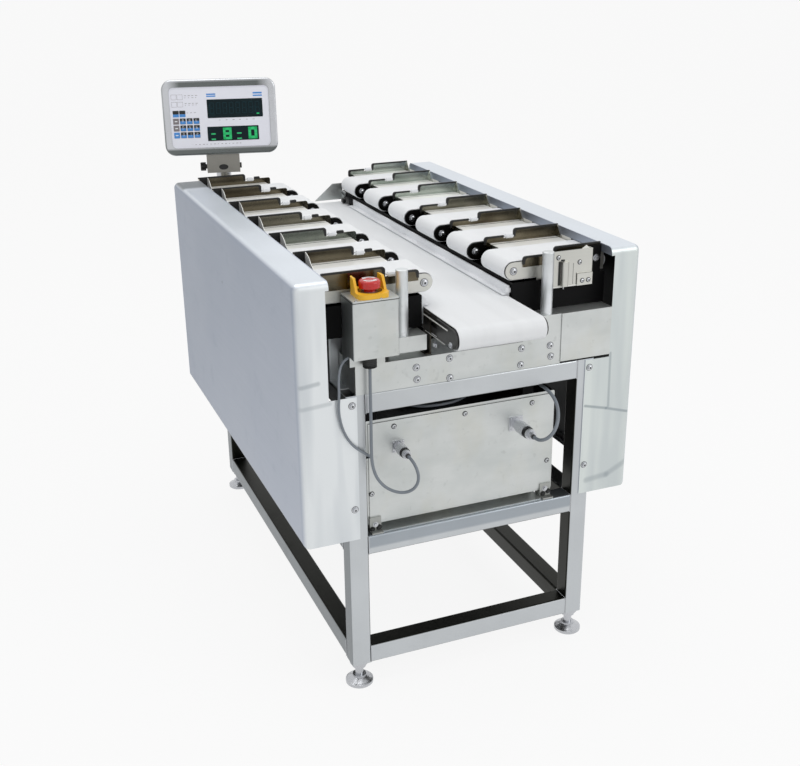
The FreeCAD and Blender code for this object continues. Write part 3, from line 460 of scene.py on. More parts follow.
def plate_painted_shade(finish, base):
    """Painted shade: the plates of every head but the front face of the first are painted black."""
    first = FRONT + GUIDE_BACK[0] * MM
    return finish.blend(finish.ramp(finish.y, first + 0.0015, first + 0.0030), base, "161514")


def brushed(name, tint, along, rough=0.34, contrast=0.10, cloud=0.10, metal=0.9, tone=None):
    """Stainless steel with a grain along one axis, soft clouds and handling marks."""
    finish = Finish(name)
    grain = finish.noise(GRAIN_ALONG[along], 3.0)
    fine = finish.noise(FINE_ALONG[along], 2.0, 3.1)
    soft = finish.ramp(finish.noise((3.2, 3.2, 3.2), 3.0, 7.7), 0.3, 0.7)
    marks = finish.ramp(finish.noise((19, 19, 19), 4.0, 1.3), 0.58, 0.80)
    level = 0.5 * grain + 0.5 * fine
    light = finish.blend(soft, shade(tint, 1 - cloud), shade(tint, 1 + cloud))
    base = finish.blend(level * contrast * 2.5, light, shade(tint, 0.62))
    base = finish.blend(marks * 0.16, base, shade(tint, 0.72))
    if tone:
        base = tone(finish, base)
    return finish.surface({
        "Base Color": base,
        "Metallic": metal,
        "Roughness": rough + 0.10 * (grain - 0.5) + 0.08 * soft + 0.06 * marks,
        "Normal": finish.bump(level, 0.10, 0.0004),
    })


def polished(name, tint):
    """Polished sheet with long streaks, as on the product guides: the streaks are real polish lines in
    the roughness and bump and painted reflections in the colour, as are the broad patches.
    """
    finish = Finish(name)
    streak = finish.noise((6, 300, 70), 4.0)
    patch = finish.ramp(finish.noise((7, 5, 14), 3.0, 5.2), 0.32, 0.66)
    base = finish.blend(patch, shade(tint, 0.72), shade(tint, 1.35))
    base = guide_painted_reflection(finish, finish.blend(streak * 0.35, base, shade(tint, 0.45)))
    return finish.surface({
        "Base Color": base,
        "Metallic": 1.0,
        "Roughness": 0.16 + 0.14 * streak,
        "Normal": finish.bump(streak, 0.08, 0.0004),
    })


def plastic(name, tint, rough=0.42, grain=1400.0, depth=0.0001, dirt=0.06):
    """Moulded or sliding plastic with a fine grain and a little uneven tone."""
    finish = Finish(name)
    tone = finish.ramp(finish.noise((9, 9, 9), 4.0), 0.3, 0.75)
    fine = finish.noise((grain, grain, grain), 2.0, 2.2)
    base = finish.blend(tone, shade(tint, 1 - dirt), shade(tint, 1 + dirt * 0.5))
    return finish.surface({
        "Base Color": base,
        "Roughness": rough + 0.10 * (tone - 0.5),
        "Normal": finish.bump(fine, 0.25, depth),
    })


def belt_cloth(name, tint):
    """White food belt: smooth cover, faint weave and light rub marks along its travel."""
    finish = Finish(name)
    weave = finish.noise((1500, 1500, 1500), 1.0)
    rub = finish.ramp(finish.noise((38, 4, 12), 4.0, 4.0), 0.5, 0.85)
    tone = finish.noise((5, 5, 5), 3.0, 8.0)
    base = finish.blend(rub * 0.5, shade(tint, 1.0), shade(tint, 0.86))
    base = finish.blend(tone * 0.10, base, shade(tint, 0.90))
    return finish.surface({
        "Base Color": base,
        "Roughness": 0.44 + 0.12 * tone,
        "Normal": finish.bump(weave, 0.2, 0.00012),
    })


def satin_black(name, tint, rough=0.36, coat=0.15, shine=0.5):
    """Black finished plate with fine scratches and dust."""
    finish = Finish(name)
    dust = finish.ramp(finish.noise((30, 30, 30), 5.0), 0.55, 0.82)
    scratch = finish.ramp(finish.noise((260, 9, 260), 2.0, 6.0), 0.62, 0.74)
    base = finish.blend(dust * 0.22, shade(tint, 1.0), shade(tint, 3.5))
    base = finish.blend(scratch * 0.15, base, shade(tint, 5.0))
    return finish.surface({
        "Base Color": base,
        "Roughness": rough + 0.16 * dust,
        "Coat Weight": coat,
        "Specular IOR Level": shine,
        "Normal": finish.bump(scratch, 0.1, 0.0002),
    })


def glossy(name, tint, rough=0.22):
    """Glossy moulded plastic."""
    finish = Finish(name)
    tone = finish.noise((60, 60, 60), 3.0)
    base = finish.blend(tone, shade(tint, 0.9), shade(tint, 1.08))
    return finish.surface({
        "Base Color": base,
        "Roughness": rough + 0.1 * tone,
        "Coat Weight": 0.4,
        "Normal": finish.bump(tone, 0.04, 0.0003),
    })


def lit(name, tint, strength):
    """Lit display segments."""
    finish = Finish(name)
    glow = finish.ramp(finish.noise((500, 500, 500), 2.0), 0.2, 0.8)
    base = finish.blend(glow, shade(tint, 0.75), shade(tint, 1.0))
    return finish.surface({
        "Base Color": base,
        "Roughness": 0.35,
        "Emission Color": base,
        "Emission Strength": strength,
    })


def make_finishes(tints):
    """Every material by name."""
    return {
        "cover": brushed("cover_sheet", tints.cover, "y", rough=0.40, contrast=0.06, cloud=0.05,
                         tone=cover_painted_light),
        "tube_z": brushed("tube_upright", tints.tube, "z", contrast=0.06, tone=tube_painted_shade),
        "tube_y": brushed("tube_lengthwise", tints.tube, "y", contrast=0.06, tone=tube_painted_shade),
        "beam": brushed("beam_sheet", tints.beam, "x", rough=0.36, contrast=0.05, cloud=0.05,
                        tone=beam_tone),
        "post": brushed("post_steel", linear("f4f7fb"), "z", rough=0.42, contrast=0.16, cloud=0.06,
                        tone=beam_tone),
        "dark_bronze": brushed("conveyor_foot_steel", linear("3f3b34"), "z", rough=0.35),
        "window": satin_black("display_glass", tints.display, 0.25, 0.0, 0.15),
        "box": brushed("box_sheet", tints.beam, "x", rough=0.42, contrast=0.04, cloud=0.05,
                       tone=box_painted_light),
        "guides": polished("guide_sheet", tints.polished),
        "turned": brushed("turned_steel", tints.turned, "z", rough=0.25),
        "housing": brushed("pressed_housing", tints.turned, "x", rough=0.24, contrast=0.06,
                           tone=housing_painted_light),
        "bronze": brushed("bronze_bracket", tints.bronze, "z", rough=0.30, contrast=0.12),
        "bolt": brushed("bolt_steel", tints.turned, "x", rough=0.22, metal=1.0),
        "plate": brushed("cover_plate_steel", tints.plate, "x", rough=0.34, cloud=0.16),
        "head_plate": brushed("head_plate_steel", tints.plate, "x", rough=0.34, tone=plate_painted_shade),
        "black_plate": satin_black("black_plate", tints.black_plate),
        "black_sheet_and_shade": satin_black("black_sheet_and_shade", tints.black_sheet_and_shade, 0.6, 0.0, 0.12),
        "bracket": brushed("bracket_sheet", tints.beam, "z", rough=0.45, tone=bracket_painted_shade),
        "painted_bright": brushed("painted_highlight_sheet", linear("eeeeea"), "x", rough=0.34, contrast=0.05, metal=0.2),
        "seam": plastic("dark_seam_and_shadow", linear("2a2b2b"), 0.6),
        "belt": belt_cloth("belt_cloth", tints.belt),
        "rail": plastic("rail_plastic", tints.rail, 0.4),
        "guard": plastic("guard_plastic", tints.guard, 0.36),
        "button": glossy("button_plastic", tints.button),
        "film": plastic("key_film", tints.film, 0.32, 2600.0, 0.00004, 0.02),
        "key": glossy("blue_key", tints.key, 0.3),
        "key_grey": glossy("grey_key", tints.key_grey, 0.3),
        "digit": lit("lit_segments", tints.digit, 0.35),
        "dim": satin_black("unlit_segments", tuple(c * 2.2 for c in tints.display), 0.3, 0.0, 0.1),
        "cable": plastic("cable_jacket", tints.cable, 0.45),
        "rubber": plastic("black_rubber", tints.rubber, 0.5),
        "pad": plastic("clear_pad", tints.rail, 0.25),
        "white_mark": plastic("white_print", tints.belt, 0.4),
        "print_grey": plastic("grey_print", tints.key_grey, 0.5),
    }


FINISHES = {}

# The finish of every carried-over node
NODE_FINISH = {
    "frame_legs": "tube_z", "bottom_rails": "tube_y", "mid_rails": "tube_y", "top_rails": "tube_y",
    "levelling_feet": "turned", "right_cover": "cover", "left_cover": "cover",
    "front_beam": "beam", "rear_beam": "beam", "front_right_plate": "beam",
    "left_post_block": "beam", "right_post_block": "beam", "left_post": "post",
    "right_post": "post", "stop_box": "box", "stop_guard": "guard", "stop_collar": "turned",
    "stop_button": "button", "stop_gland": "rubber", "electrical_box": "box",
    "box_brackets": "bracket", "box_connectors": "turned", "stop_cable": "cable",
    "right_cable": "cable", "conveyor_belt": "belt", "conveyor_rollers": "turned",
    "conveyor_side_right": "black_plate", "conveyor_side_left": "black_plate",
    "conveyor_bed": "beam", "conveyor_rails": "rail", "conveyor_feet": "dark_bronze",
    "rear_deflector": "beam", "tray_supports": "tube_z", "drive_cover": "plate",
    "drive_side_panel": "black_sheet_and_shade", "box_shelf": "beam",
    "indicator_housing": "housing", "indicator_panel": "film", "indicator_bracket": "bronze",
    "indicator_knob": "rubber", "indicator_pole": "turned", "pole_brackets": "beam",
    "weigh_belts": "belt", "head_plates": "head_plate", "head_rollers": "turned",
    "head_beds": "black_plate", "head_mounts": "black_sheet_and_shade", "guides": "guides",
    "tray": "black_sheet_and_shade",
}


# Mesh building

class Form:
    """One mesh, put together from turned, extruded and swept forms."""

    def __init__(self):
        self.mesh = bmesh.new()

    def lathe(self, profile, matrix, steps=24):
        """Turn a profile of radius and height about the matrix's Z axis."""
        rings = []
        for radius, height in profile:
            if radius < 1e-7:
                rings.append([self.mesh.verts.new(matrix @ Vector((0, 0, height)))])
                continue
            rings.append([self.mesh.verts.new(matrix @ Vector((x, y, height)))
                          for x, y in circle(radius, steps)])
        for low, high in zip(rings, rings[1:]):
            for k in range(steps):
                corners = [low[k % len(low)], low[(k + 1) % len(low)],
                           high[(k + 1) % len(high)], high[k % len(high)]]
                kept = [v for i, v in enumerate(corners) if v not in corners[:i]]
                if len(kept) > 2:
                    self.mesh.faces.new(kept)
        for ring in (rings[0], rings[-1]):
            if len(ring) > 1:
                self.mesh.faces.new(ring)

    def prism(self, outline, depth, matrix, bevel=0.0):
        """Extrude a flat outline along the matrix's Z axis, with softened edges."""
        low = [self.mesh.verts.new(matrix @ Vector((x, y, 0))) for x, y in outline]
        high = [self.mesh.verts.new(matrix @ Vector((x, y, depth))) for x, y in outline]
        faces = [self.mesh.faces.new(low[::-1]), self.mesh.faces.new(high)]
        for k in range(len(outline)):
            n = (k + 1) % len(outline)
            faces.append(self.mesh.faces.new([low[k], low[n], high[n], high[k]]))
        if bevel > 0:
            edges = list({edge for face in faces for edge in face.edges})
            bmesh.ops.recalc_face_normals(self.mesh, faces=faces)
            sharp = [e for e in edges if e.calc_face_angle(0) > 0.5]
            bmesh.ops.bevel(self.mesh, geom=sharp, offset=bevel, segments=2, affect="EDGES",
                            clamp_overlap=True)

    def block(self, low, high, bevel=0.0):
        """A block between two corners, with softened edges."""
        outline = [(low.x, low.y), (high.x, low.y), (high.x, high.y), (low.x, high.y)]
        self.prism(outline, high.z - low.z, Matrix.Translation((0, 0, low.z)), bevel)

    def sweep(self, section, path, closed=True):
        """Carry a section of offsets along a path of origins with side and up directions."""
        rings = [[self.mesh.verts.new(origin + side * u + up * v) for u, v in section]
                 for origin, side, up in path]
        pairs = list(zip(rings, rings[1:])) + ([(rings[-1], rings[0])] if closed else [])
        for near, far in pairs:
            for k in range(len(section)):
                n = (k + 1) % len(section)
                self.mesh.faces.new([near[k], near[n], far[n], far[k]])
        if not closed:
            self.mesh.faces.new(rings[0])
            self.mesh.faces.new(rings[-1])

    def finish(self, name, material, body="machine", slot=None, angle=35.0):
        """The object of this form, riding on a body."""
        bmesh.ops.recalc_face_normals(self.mesh, faces=self.mesh.faces)
        mesh = bpy.data.meshes.new(name)
        self.mesh.to_mesh(mesh)
        self.mesh.free()
        for polygon in mesh.polygons:
            polygon.use_smooth = True
        mesh.set_sharp_from_angle(angle=math.radians(angle))
        piece = bpy.data.objects.new(name, mesh)
        bpy.context.scene.collection.objects.link(piece)
        mesh.materials.append(FINISHES[material])
        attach(piece, body)
        return piece


def facing(origin, direction, spin=0.0):
    """A matrix at a point whose Z axis runs along a direction."""
    turn = Vector(direction).to_track_quat("Z", "Y").to_matrix().to_4x4()
    return Matrix.Translation(origin) @ turn @ Matrix.Rotation(spin, 4, "Z")


def rounded(width, height, radius, steps=6):
    """The outline of a rectangle with round corners about the origin."""
    points = []
    for cx, cy, start in ((1, 1, 0), (-1, 1, 90), (-1, -1, 180), (1, -1, 270)):
        for k in range(steps + 1):
            a = math.radians(start + 90 * k / steps)
            points.append((cx * (width / 2 - radius) + radius * math.cos(a),
                           cy * (height / 2 - radius) + radius * math.sin(a)))
    return points


def circle(radius, steps):
    """The corners of a regular polygon."""
    return [(radius * math.cos(2 * math.pi * k / steps), radius * math.sin(2 * math.pi * k / steps))
            for k in range(steps)]


def button_bolt(form, dark, place, direction, radius, spin=0.0):
    """A low round head on a thin washer, with a dark hexagon socket and a shadow ring, both painted
    shade.
    """
    matrix = facing(place, direction, spin)
    form.lathe([(radius * 1.35, 0), (radius * 1.35, radius * 0.14), (radius * 1.3, radius * 0.2),
                (radius * 0.6, radius * 0.2)], matrix)
    base = radius * 0.2
    form.lathe([(radius, base), (radius, base + radius * 0.2), (radius * 0.86, base + radius * 0.55),
                (radius * 0.56, base + radius * 0.72)], matrix)
    dark.prism(circle(radius * 0.42, 6), radius * 0.03,
               matrix @ Matrix.Translation((0, 0, base + radius * 0.72)))
    dark.lathe([(radius * 1.5, 0), (radius * 1.5, radius * 0.03), (radius * 1.38, radius * 0.03)],
               matrix)


def hex_bolt(form, place, direction, radius, spin=0.3):
    """A hexagon head with a turned top on a washer."""
    matrix = facing(place, direction, spin)
    form.lathe([(radius * 1.45, 0), (radius * 1.45, radius * 0.2), (radius, radius * 0.22)], matrix)
    form.prism(circle(radius, 6), radius * 0.62,
               matrix @ Matrix.Translation((0, 0, radius * 0.22)), radius * 0.1)


def pan_screw(form, dark, place, direction, radius, spin=0.4):
    """A domed head with a dark cross recess and a shadow ring, both painted shade."""
    matrix = facing(place, direction, spin)
    form.lathe([(radius, 0), (radius, radius * 0.18), (radius * 0.85, radius * 0.5),
                (radius * 0.5, radius * 0.66), (0, radius * 0.7)], matrix, 20)
    dark.lathe([(radius * 1.25, 0), (radius * 1.25, radius * 0.05), (radius * 1.02, radius * 0.05)],
               matrix, 20)
    for quarter in (0, math.pi / 2):
        bar = [(-radius * 0.55, -radius * 0.1), (radius * 0.55, -radius * 0.1),
               (radius * 0.55, radius * 0.1), (-radius * 0.55, radius * 0.1)]
        dark.prism(bar, radius * 0.14, matrix @ Matrix.Rotation(quarter, 4, "Z")
                   @ Matrix.Translation((0, 0, radius * 0.6)))


def slab(form, x, y, z, bevel=0.0):
    """A block between pairs of x, y and z in millimetres."""
    form.block(at(min(x), min(y), min(z)), at(max(x), max(y), max(z)), bevel * MM)


def upright(form, outline, y, depth, bevel=0.0):
    """Extrude an outline of x and z millimetres to the rear from a y."""
    turn = Matrix.Rotation(math.pi / 2, 4, "X")
    points = [(x * MM, z * MM) for x, z in outline]
    form.prism(points, depth * MM, Matrix.Translation(at(0, y + depth, 0)) @ turn, bevel * MM)


def bead(form, start, end, radius):
    """A low rounded bead of weld between two places in millimetres."""
    first, last = at(*start), at(*end)
    run = (last - first).length
    r = radius * MM
    form.lathe([(0, 0), (r * 0.7, r * 0.4), (r, r), (r, run - r), (r * 0.7, run - r * 0.4), (0, run)],
               facing(first, last - first), 8)


def tube(form, route, radius, steps=10, turns=6):
    """A smooth round tube through places in millimetres."""
    places = [at(*p) for p in route]
    ends = [places[0] * 2 - places[1]] + places + [places[-1] * 2 - places[-2]]
    line = []
    for a, b, c, d in zip(ends, ends[1:], ends[2:], ends[3:]):
        for k in range(turns):
            t = k / turns
            line.append(0.5 * (2 * b + (c - a) * t + (2 * a - 5 * b + 4 * c - d) * t ** 2
                               + (3 * b - a - 3 * c + d) * t ** 3))
    line.append(places[-1])
    path = []
    for k, point in enumerate(line):
        ahead = line[min(k + 1, len(line) - 1)] - line[max(k - 1, 0)]
        turn = ahead.to_track_quat("Z", "Y")
        path.append((point, turn @ Vector((1, 0, 0)), turn @ Vector((0, 1, 0))))
    form.sweep(circle(radius * MM, steps), path, closed=False)


FORWARD = (0, -1, 0)
BACKWARD = (0, 1, 0)
UP = (0, 0, 1)


class WEIGHER_OT_finishes(bpy.types.Operator):
    """Make the materials and give every carried-over piece its finish"""
    bl_idname = "weigher.finishes"
    bl_label = "Finishes"

    def execute(self, context):
        FINISHES.update(make_finishes(context.scene.weigher_colours))
        for name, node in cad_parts.items():
            plain = name.replace("right_", "", 1).replace("left_", "", 1)
            choice = NODE_FINISH.get(name) or NODE_FINISH[plain]
            node.data.materials.clear()
            node.data.materials.append(FINISHES[choice])
        return {"FINISHED"}


# Cables: route points from the socket on, in millimetres
STOP_CABLE = (
    (-220, -13, 696.9), (-220.5, -13.5, 645), (-220, -13, 590), (-221.5, -15, 540),
    (-222.5, -20, 508), (-217.5, -27, 483), (-206, -36, 466), (-190, -44, 455.5),
    (-172, -52, 452), (-157.5, -60, 458.5), (-149.5, -66, 472), (-147.5, -68, 488),
    (-149, -63, 502), (-151.5, -53, 511.5), (-153.5, -41.5, 516), (-153.5, -30, 516))
RIGHT_CABLE = (
    (101, -54, 520), (101, -67, 520), (104, -80, 522.3), (111.5, -90, 529), (121.5, -93, 539.5),
    (132.5, -87.5, 551.5), (142, -76, 563.5), (149, -61, 574.5), (153.5, -43.5, 583),
    (156, -24, 588.5), (157.5, -4, 590.8), (158.5, 17, 590.8), (158.9, 38, 590),
    (158.5, 58, 590.5), (158.6, 77, 590.2), (158.5, 94.9, 590))
LEFT_LEAD = (
    (-255, 5, 716), (-266, 3, 712), (-275, -2, 698), (-279, -7, 676), (-278.7, -8, 652),
    (-281.5, -8, 617), (-273.6, -8, 577.9), (-256, -8, 546.1), (-230.3, -8, 524.9),
    (-218, -5, 516), (-216, 10, 508), (-222.5, 22, 502))
UPPER_LEAD = (
    (-140, 88, 577), (-132, 76, 580), (-106, 50, 580), (-84, 38, 580), (-50, 35, 580),
    (-15, 42, 580), (14, 62, 580), (30, 84, 577))
DEFLECTOR_WIRE = ((88, 962, 796), (91, 1020, 801), (92, 1080, 808))


def curve_length(piece):
    """The length of a curve object's own line."""
    bare = piece.data.copy()
    bare.bevel_depth = 0
    spare = bpy.data.objects.new("measure", bare)
    mesh = bpy.data.meshes.new_from_object(spare)
    points = [v.co.copy() for v in mesh.vertices]
    total = sum((b - a).length for a, b in zip(points, points[1:]))
    bpy.data.objects.remove(spare)
    bpy.data.meshes.remove(mesh)
    bpy.data.curves.remove(bare)
    return total


def cable(name, node, route, diameter, lay="hanging"):
    """A cable as one smooth spline along its route, in place of its plain tube if it has one."""
    curve = bpy.data.curves.new(name, "CURVE")
    curve.dimensions = "3D"
    curve.resolution_u = 12
    curve.bevel_depth = diameter / 2
    curve.bevel_resolution = 4
    curve.use_fill_caps = True
    spline = curve.splines.new("NURBS")
    spline.points.add(len(route) - 1)
    for point, place in zip(spline.points, route):
        point.co = (*at(*place), 1)
    spline.order_u = 3
    spline.use_endpoint_u = True
    piece = bpy.data.objects.new(name, curve)
    bpy.context.scene.collection.objects.link(piece)
    curve.materials.append(FINISHES["cable"])
    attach(piece, "machine")
    if node:
        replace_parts(piece, node)
    at(*route[0])
    curve_length(piece)


class WEIGHER_OT_cables(bpy.types.Operator):
    """Lay the two cables and the two short leads"""
    bl_idname = "weigher.cables"
    bl_label = "Cables"

    def execute(self, context):
        sizes = context.scene.weigher_sizes
        cable("stop_switch_cable", "stop_cable", STOP_CABLE, sizes.stop_cable)
        cable("right_box_cable", "right_cable", RIGHT_CABLE, sizes.right_cable)
        cable("left_short_lead", None, LEFT_LEAD, sizes.left_lead)
        cable("upper_short_lead", None, UPPER_LEAD, sizes.upper_lead, "loose")
        return {"FINISHED"}


def belt_loop(form, low, high, middle_z, radius, thickness, place, width, side):
    """A belt with softened edges round two rollers whose axes run along a side direction."""
    travel = Vector((side.y, side.x, 0))
    steps = 18
    path = []
    for centre, start in ((high, 90), (low, 270)):
        for k in range(steps + 1):
            angle = math.radians(start - 180 * k / steps)
            out = travel * math.cos(angle) + Vector((0, 0, math.sin(angle)))
            origin = place + travel * centre + Vector((0, 0, middle_z)) + out * radius
            path.append((origin, side, out))
    soft = thickness * 0.3
    section = [(soft, 0), (width - soft, 0), (width, -soft), (width, -thickness + soft),
               (width - soft, -thickness), (soft, -thickness), (0, -thickness + soft), (0, -soft)]
    form.sweep(section, path)


class WEIGHER_OT_belts(bpy.types.Operator):
    """Make the take-away belt and the twelve weigh belts"""
    bl_idname = "weigher.belts"
    bl_label = "Belts"

    def execute(self, context):
        low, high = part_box("conveyor_belt")
        radius = (high.z - low.z) / 2
        form = Form()
        belt_loop(form, low.y + radius, high.y - radius, high.z - radius, radius, BELT_THICKNESS,
                  Vector((low.x, 0, 0)), high.x - low.x, Vector((1, 0, 0)))
        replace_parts(form.finish("take_away_belt", "belt", slot="belt_white"), "conveyor_belt")
        for side, sign in SIGN.items():
            form = Form()
            low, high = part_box(side + "_weigh_belts")
            radius = (high.z - low.z) / 2
            ends = sorted((sign * HEAD_NOSE[side], sign * HEAD_TAIL))
            for k in range(HEAD_COUNT):
                start = Vector((0, low.y + k * HEAD_PITCH, 0))
                belt_loop(form, ends[0], ends[1], HEAD_AXIS, radius, BELT_THICKNESS, start,
                          HEAD_BELT, Vector((0, 1, 0)))
            piece = form.finish(side + "_belt_loops", "belt", slot="belt_white")
            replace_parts(piece, side + "_weigh_belts")
        return {"FINISHED"}


# Places in millimetres: x from the middle, y from the front of the frame, z from the floor
BEAM_BOLTS = ((-122.9, 679.4), (-121.4, 655.3), (-54.8, 687.8), (-53.9, 648.3),
              (98.4, 685.4), (97.3, 651.7), (161.2, 682.8), (163.6, 659.8))
COVER_BOLTS = ((252.5, 623.6), (252.0, 408.5))
BOX_SCREWS = ((-161.4, 558.5), (-11.5, 559.4), (137, 558), (-209.4, 423.6), (176, 423.6))
BRACKET_SCREWS = ((-204, 357), (-197, 350.5), (-211, 348), (172.5, 361), (180, 354), (168, 350))
COVER_SCREWS = ((233.5, 836.5, 24.0), (239.4, 799.5, 21.0), (253, 799.5, 21.0), (186, 850, 24.0))
CONVEYOR_BOLTS = ((-86.5, 746), (-18, 726))
GUARD_SCREWS = ((-247, -22.5), (-200, -23.5))
HEAD_SPAN = 106.0


class WEIGHER_OT_fasteners(bpy.types.Operator):
    """Set the bolts and screws"""
    bl_idname = "weigher.fasteners"
    bl_label = "Fasteners"

    def execute(self, context):
        sizes = context.scene.weigher_sizes
        dark = Form()
        rear_face = (REAR - FRONT) / MM
        form = Form()
        for x, z in BEAM_BOLTS:
            button_bolt(form, dark, at(x, 0, z), FORWARD, sizes.bolt_head, x)
            button_bolt(form, dark, at(x, rear_face, z), BACKWARD, sizes.bolt_head, x)
        form.finish("beam_bolts", "bolt", slot="machined_steel")
        form = Form()
        for x, z in COVER_BOLTS:
            for sign in (-1, 1):
                button_bolt(form, dark, at(sign * x, -1.5, z), FORWARD, sizes.bolt_head, z)
                button_bolt(form, dark, at(sign * x, rear_face + 1.5, z), BACKWARD,
                            sizes.bolt_head, z)
        form.finish("cover_bolts", "bolt", slot="machined_steel")
        form = Form()
        for x, z in BOX_SCREWS:
            pan_screw(form, dark, Vector((x * MM, BOX_FACE, z * MM)), FORWARD, sizes.screw_head, x)
        # Painted shade: two of each three bracket screws are drawn black with the dark pieces, below the
        # box.
        for k, (x, z) in enumerate(BRACKET_SCREWS):
            hex_bolt(dark if k % 3 else form, Vector((x * MM, BOX_FACE - 0.003, z * MM)), FORWARD,
                     sizes.screw_head * 0.9, x)
        form.finish("box_screws", "bolt", slot="machined_steel")
        form = Form()
        for side, sign in SIGN.items():
            x = sign * HEAD_NOSE[side] / MM
            for y in GUIDE_BACK[:HEAD_COUNT]:
                for face, way in ((y, FORWARD), (y + HEAD_SPAN, BACKWARD)):
                    button_bolt(form, dark, at(x, face, 828), way, sizes.nose_bolt, y)
        form.finish("nose_bolts", "bolt", slot="machined_steel")
        form = Form()
        for x, z, y in COVER_SCREWS:
            pan_screw(form, dark, at(x, y, z), FORWARD, sizes.screw_head * 0.9, x)
        hex_bolt(form, at(279, 38, 837), FORWARD, sizes.bolt_head)
        for y, z in CONVEYOR_BOLTS:
            for sign in (-1, 1):
                hex_bolt(form, at(sign * 92, y, z), (sign, 0, 0), sizes.bolt_head * 0.9, y)
        for x, y in GUARD_SCREWS:
            pan_screw(form, dark, at(x, y, 830), UP, sizes.screw_head * 0.55)
        form.finish("cover_screws", "bolt", slot="machined_steel")
        dark.finish("socket_shadows", "seam", slot="dark_plate")
        return {"FINISHED"}


def arc(cx, cy, radius, start, end, steps=5):
    """Points of an arc between two angles in degrees."""
    turns = [math.radians(start + (end - start) * k / steps) for k in range(steps + 1)]
    return [(cx + radius * math.cos(a), cy + radius * math.sin(a)) for a in turns]


class WEIGHER_OT_guide_trim(bpy.types.Operator):
    """Edge trims and pads of the product guides, with hems painted bright as reflections and painted
    shade in their creases and beside the left cover
    """
    bl_idname = "weigher.guide_trim"
    bl_label = "Guide trim"

    def execute(self, context):
        edge = context.scene.weigher_sizes.edge / MM
        for side, sign in SIGN.items():
            trim, pads, hems, lines = Form(), Form(), Form(), Form()
            shift = GUIDE_SHIFT[side]
            for k, back in enumerate(GUIDE_BACK):
                raised, inner = self.edges(shift, edge)
                upright(trim, [(sign * x, z) for x, z in raised], back - 2.8, 3.6)
                if side == "right" or k == 0:
                    upright(trim, [(sign * x, z) for x, z in inner], back - 2.8, 3.6)
                else:
                    slab(trim, (sign * (147 - shift), sign * (162 - shift)), (back - 5, back + 2),
                         (853, 859), 1.0)
                start = 163.5 - shift
                slab(pads, (sign * start, sign * (start + 20)), (back - 10, back + 3),
                     (850, 857.5), 2.5)
                if k:
                    self.floor(hems, lines, trim, side, back)
            trim.finish(side + "_guide_edges_and_shade", "rubber", slot="connector_black")
            pads.finish(side + "_guide_pads", "pad", slot="rail_white")
            hems.finish(side + "_guide_floors_painted_bright", "painted_bright", slot="guide_steel")
            lines.finish(side + "_guide_crease_shade", "seam", slot="connector_black")
        return {"FINISHED"}

    def floor(self, hems, lines, trim, side, back):
        """A sheet at belt level before an upright, painted bright as a reflection, its crease painted
        dark as shade, and the piece at the cover: a bright slab at the right, and at the left black
        sheets of painted shade and a bright fin.
        """
        sign, shift = SIGN[side], GUIDE_SHIFT[side]
        ahead = back - GUIDE_DEPTH + 1.5
        inner, outer = 131 - shift, 286 if side == "right" else 265
        # Painted reflection: the sheet at belt level is painted bright.
        slab(hems, (sign * inner, sign * outer), (ahead, back - 2.2), (840.4, 842.0), 0.3)
        # Painted shade along its crease.
        slab(lines, (sign * inner, sign * outer), (back - 15.0, back - 12.8), (842.0, 842.2))
        if side == "right":
            # Painted highlight: a bright slab in the gap at the right cover.
            slab(hems, (290.3, 291.2), (ahead, back - 2.2), (836, 849))
            return
        # Painted shade: black sheets in the holes beside the left cover.
        slab(trim, (-289.2, -266.5), (back - 3.6, back - 2.2), (837, 867.6))
        slab(trim, (-289.2, -266.5), (ahead, back - 3.8), (841.0, 842.4))
        turn = Matrix.Rotation(math.pi / 2, 4, "Z") @ Matrix.Rotation(math.pi / 2, 4, "X")
        fin = [(ahead - 2, 842.5), (back - 3, 842.5), (back - 3, 867)] + arc(back - 3, 820, 47, 92, 138)
        hems.prism([(y * MM, z * MM) for y, z in fin], 0.0012,
                   Matrix.Translation(Vector((-0.2665, FRONT, 0))) @ turn)

    def edges(self, shift, edge):
        """The two outlines of edging: the raised outer part and the low inner part."""
        low, high = GUIDE_LOW, GUIDE_HIGH
        x0, x1, x2, x3 = 119 - shift, 163 - shift, 186 - shift, 289.5
        raised = [(x2 - 1, low - 4)] + arc(x2 + 5, high - 5, 6, 180, 90) + [(x3, high + 1)]
        raised += [(x3, high - edge), (x2 + 8, high - edge), (x2 + 5, high - edge - 3), (x2 + 3, low - 4)]
        inner = [(x0 - 1, low - 15)] + arc(x0 + 5, low - 5, 6, 180, 90) + [(x1, low + 1)]
        inner += [(x1, low - edge), (x0 + 8, low - edge), (x0 + 5, low - edge - 3), (x0 + 3, low - 15)]
        return raised, inner


